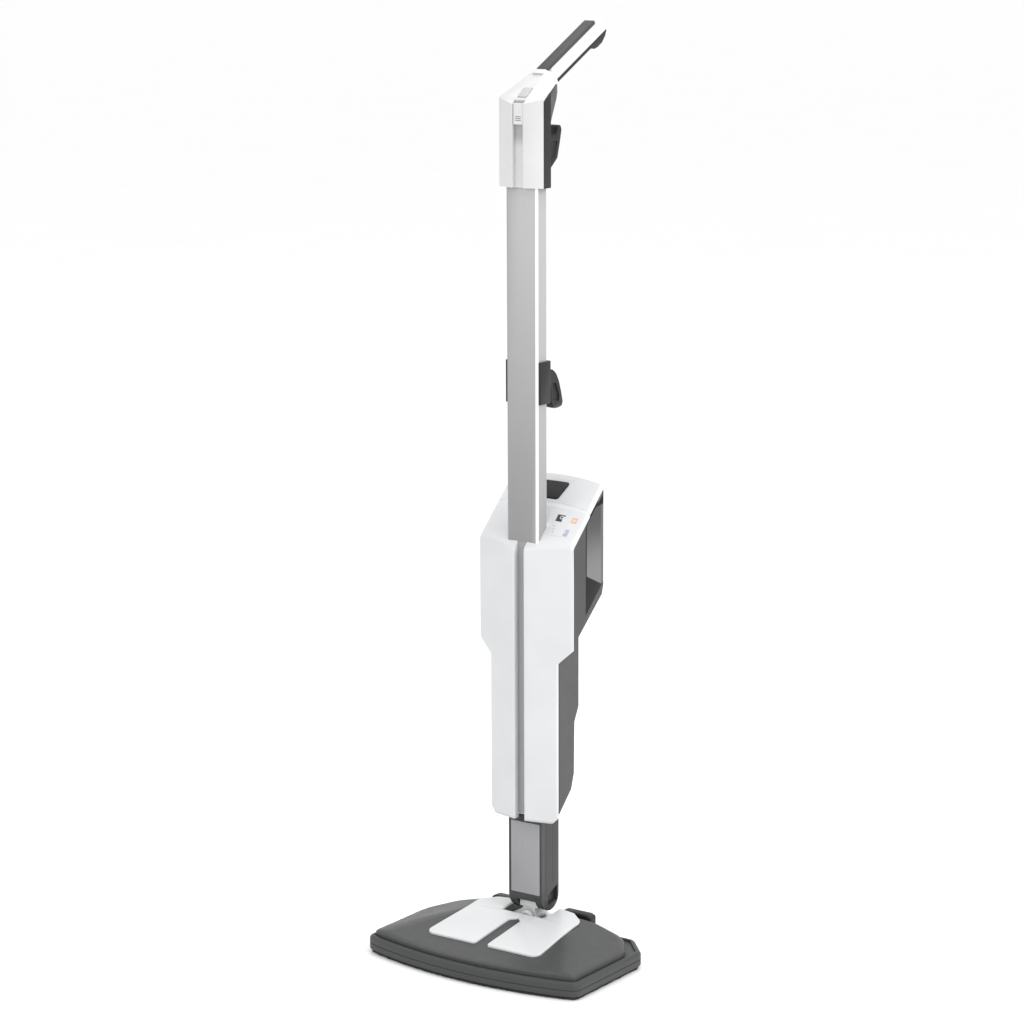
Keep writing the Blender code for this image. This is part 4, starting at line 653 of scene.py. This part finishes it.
def cloth():
    """Looped cloth: rings of the head's outline round a bulging edge, each point pushed by tuft noise."""
    outline = even(inset(head_outline(), 0.0030), 0.0016)
    section = [(0.012, 0.0), (0.0020, 0.0), (0.0005, 0.0006), (0.0, 0.0016), (0.0002, 0.0028),
               (0.0014, 0.0038), (0.0040, 0.0042), (0.012, 0.0042)]
    noise = np.random.default_rng(7)
    rings = []
    for index, (shift, height) in enumerate(section):
        inside = 0.0 if index in (0, len(section) - 1) else 1.0
        tuft = noise.uniform(-1.0, 1.0, (len(outline), 2)) * inside
        wave = np.sin(np.arange(len(outline)) * 0.43) * 0.00025 * inside
        ring = inset(outline, shift) + tuft * 0.0004 + wave[:, None]
        level = np.clip(height + noise.uniform(-0.0003, 0.0003, len(outline)) * inside, 0.0, 0.0044)
        rings.append(np.column_stack([ring, level]))
    obj = loft("cloth_loops", rings, "cloth_pad")
    return obj


# ---------------------------------------------------------------- body
SEAM_Y = 0.0215          # the lid's seam on the slope
CHANNEL_X = 0.0093       # where the front leaves the channel's lip
SIDE_X = 0.0722          # half width of the front's upper part
FRONT_SWEEP = 0.2437     # how far the front falls back per metre sideways
CROWN_RISE, CROWN_SAG, CROWN_HALF = 0.007, 0.0045, 0.0670
SHELL_WALL = 0.0021
FRONT_LEVELS = (0.1795, 0.1832, 0.1870, 0.200, 0.25, 0.30, 0.35, 0.389, 0.391, 0.3975, 0.404, 0.410, 0.412,
                0.45, 0.50)


def crown(x):
    """Height over the slope: .007 - .0045 (x / .067)^2, then a rounded edge down to the side."""
    wide = abs(x)
    turn = max(0.0, wide - CROWN_HALF) / 0.0048
    edge = 0.0034 * (1.0 - math.sqrt(max(0.0, 1.0 - turn * turn)))
    return CROWN_RISE - CROWN_SAG * (wide / CROWN_HALF) ** 2 - edge


def waist(z):
    """Half width of the front view at height z."""
    return float(np.interp(z, [0.1795, 0.1870, 0.391, 0.410], [0.0448, 0.0520, 0.0520, SIDE_X]))


def front_columns():
    """(x, y of the front, crown height, fold radius) from the middle of the channel to the side."""
    columns = [(0.0, -0.0248, None, 0.0004), (0.0070, -0.0248, None, 0.0004),
               (0.00725, -0.0248, None, 0.0004), (0.0073, -0.0325, None, 0.0080),
               (0.0075, -0.0333, None, 0.0085), (0.0081, -0.0338, None, 0.0090),
               (0.0092, -0.0337, None, 0.0090)]
    for x in (0.0120, 0.0170, 0.0230, 0.0300, 0.0370, 0.0440, 0.0510, 0.0570, 0.0620, 0.0655, 0.0670, 0.0682):
        columns.append((x, -0.034 + (x - 0.0086) * FRONT_SWEEP, None, 0.0090))
    for x, front in ((0.0697, -0.0190), (0.0709, -0.0187), (0.0716, -0.0182), (0.0720, -0.0175),
                     (SIDE_X, -0.0166)):
        columns.append((x, front, None, 0.0075))
    columns.append((SIDE_X, -0.0150, -0.0030, 0.0070))
    return columns


def front_column(x, front, height, radius):
    """Points up one column: the plane y = front, an arc of the radius through 46 degrees, the slope to
    the seam."""
    height = crown(x) if height is None else height
    sine, cosine = math.sin(SLOPE), math.cos(SLOPE)
    meet = (front - EDGE_Y + height * sine) / cosine
    fold = EDGE_Z + meet * sine + height * cosine
    reach = radius * math.tan((math.pi / 2.0 - SLOPE) / 2.0)
    points = []
    for z in FRONT_LEVELS:
        share = 0.0 if x < CHANNEL_X else (x - CHANNEL_X) / (SIDE_X - CHANNEL_X)
        across = x if x < CHANNEL_X else CHANNEL_X + (waist(z) - CHANNEL_X) * share
        plane = front if x < CHANNEL_X else front + (across - x) * FRONT_SWEEP
        points.append((across, plane, z))
    x = min(x, 0.0719)
    for share in np.linspace(0.0, 1.0, 10):
        turn = share * (math.pi / 2.0 - SLOPE)
        points.append((x, front + radius * (1.0 - math.cos(turn)), fold - reach + radius * math.sin(turn)))
    start = meet + reach
    end = (SEAM_Y - EDGE_Y + height * sine) / cosine
    for share in np.linspace(0.0, 1.0, 11)[1:]:
        along = start + (end - start) * share
        points.append((x, EDGE_Y + along * cosine - height * sine, EDGE_Z + along * sine + height * cosine))
    return points


def front_shell():
    """White front: columns folded from the vertical face on to the slope, mirrored, given 2.1 mm of wall."""
    half = [np.array(front_column(*column)) for column in front_columns()]
    mirrored = [points * (-1.0, 1.0, 1.0) for points in reversed(half[1:])]
    columns = mirrored + half
    faces = grid_faces(len(columns), len(half[0]), False)
    faces = [tuple(reversed(face)) for face in faces]
    obj = shown("front_shell_fold", np.concatenate(columns), faces, "front_shell", False)
    middle = obj.data.polygons[len(half[0]) * (len(columns) * 3 // 4)]
    if middle.normal.y > 0.0:
        obj.data.flip_normals()
    wall = obj.modifiers.new("wall", "SOLIDIFY")
    wall.thickness = SHELL_WALL
    wall.offset = -1.0
    return crisp(obj, 50.0)


def spine_strip():
    """Satin strip in the channel, flush with the tube above."""
    outline = rounded([(-0.0070, 0.1862), (0.0070, 0.1862), (0.0070, 0.5442), (-0.0070, 0.5442)], 0.0006, 2)
    return slab("spine_strip_satin", even(outline, 0.02), -0.0256, -0.0250, 0.0002, "spine_strip",
                lambda a, b, c: (a, c, b))


def control_label():
    """Thin label that follows the crown: y = e - h sin, z = e + h cos, at s up the slope, h the crown
    plus c."""
    def place(a, s, c):
        height = CROWN_RISE - CROWN_SAG * (a / CROWN_HALF) ** 2 + c
        return (a, EDGE_Y + s * math.cos(SLOPE) - height * math.sin(SLOPE),
                EDGE_Z + s * math.sin(SLOPE) + height * math.cos(SLOPE))

    outline = rounded([(0.0285, 0.0045), (0.0630, 0.0045), (0.0630, 0.0375), (0.0285, 0.0375)], 0.003)
    return slab("control_label_print", even(outline, 0.003), -0.0003, 0.00025, 0.0001, "control_label", place)


# ---------------------------------------------------------------- pieces from the frame, with rounded edges
SMALL_EDGE = 0.0006      # pieces that are not in the table
EDGE_WIDTH = {"rear_shell": 0.0012, "tank_lid": 0.0014, "water_tank": 0.0008, "handle_front_shell": 0.0030,
              "handle_rear_shell": 0.0018, "lower_cord_hook": 0.0012, "upper_cord_hook": 0.0012,
              "grip_top_insert": 0.0016, "grip_bottom_insert": 0.0014, "tank_button": 0.0009,
              "rear_bar_left": 0.0022, "rear_bar_right": 0.0022, "neck_fork": 0.0009, "knuckle": 0.0008}


def dressed(node, width):
    """The frame's own piece with its loose triangles merged, coplanar ones joined, and rounded edges."""
    mesh = NODES[node].data.copy()
    work = bmesh.new()
    work.from_mesh(mesh)
    bmesh.ops.remove_doubles(work, verts=work.verts, dist=1e-6)
    bmesh.ops.dissolve_limit(work, angle_limit=math.radians(0.6), verts=work.verts, edges=work.edges)
    work.to_mesh(mesh)
    work.free()
    obj = bpy.data.objects.new(node + "_shown", mesh)
    bpy.context.scene.collection.objects.link(obj)
    adopt(obj, node)
    rounding = obj.modifiers.new("rounded_edges", "BEVEL")
    rounding.width = width
    rounding.segments = 3
    rounding.limit_method = "ANGLE"
    rounding.angle_limit = math.radians(28.0)
    rounding.harden_normals = True
    rounding.use_clamp_overlap = True
    return obj


INSIDE = ("boiler", "heater", "thermostat", "pump", "pump_mount", "circuit_board", "water_tube", "steam_tube",
          "valve_seat", "chassis", "handle_switch", "neck_tube", "steam_plate", "steam_nozzle", "swivel_pin",
          "roll_pin", "tank_cap", "tank_valve")


def carry_over():
    """The pieces inside keep the frame's own shape, in their finishes."""
    for node in INSIDE:
        NODES[node].data.materials.clear()
        NODES[node].data.materials.append(finish(SLOTS[node]))


def main():
    make_studio()
    carry_over()
    head_rim()
    head_cover()
    cover_plate(-1)
    cover_plate(1)
    cloth()
    front_shell()
    control_label()
    spine_strip()
    done = set(INSIDE) | {"head_base", "head_cover", "cover_plate_left", "cover_plate_right", "cloth_pad",
                          "front_shell", "control_label", "spine_strip"}
    for node in sorted(NODES):
        if node not in done:
            dressed(node, EDGE_WIDTH.get(node, SMALL_EDGE))


main()

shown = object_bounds()
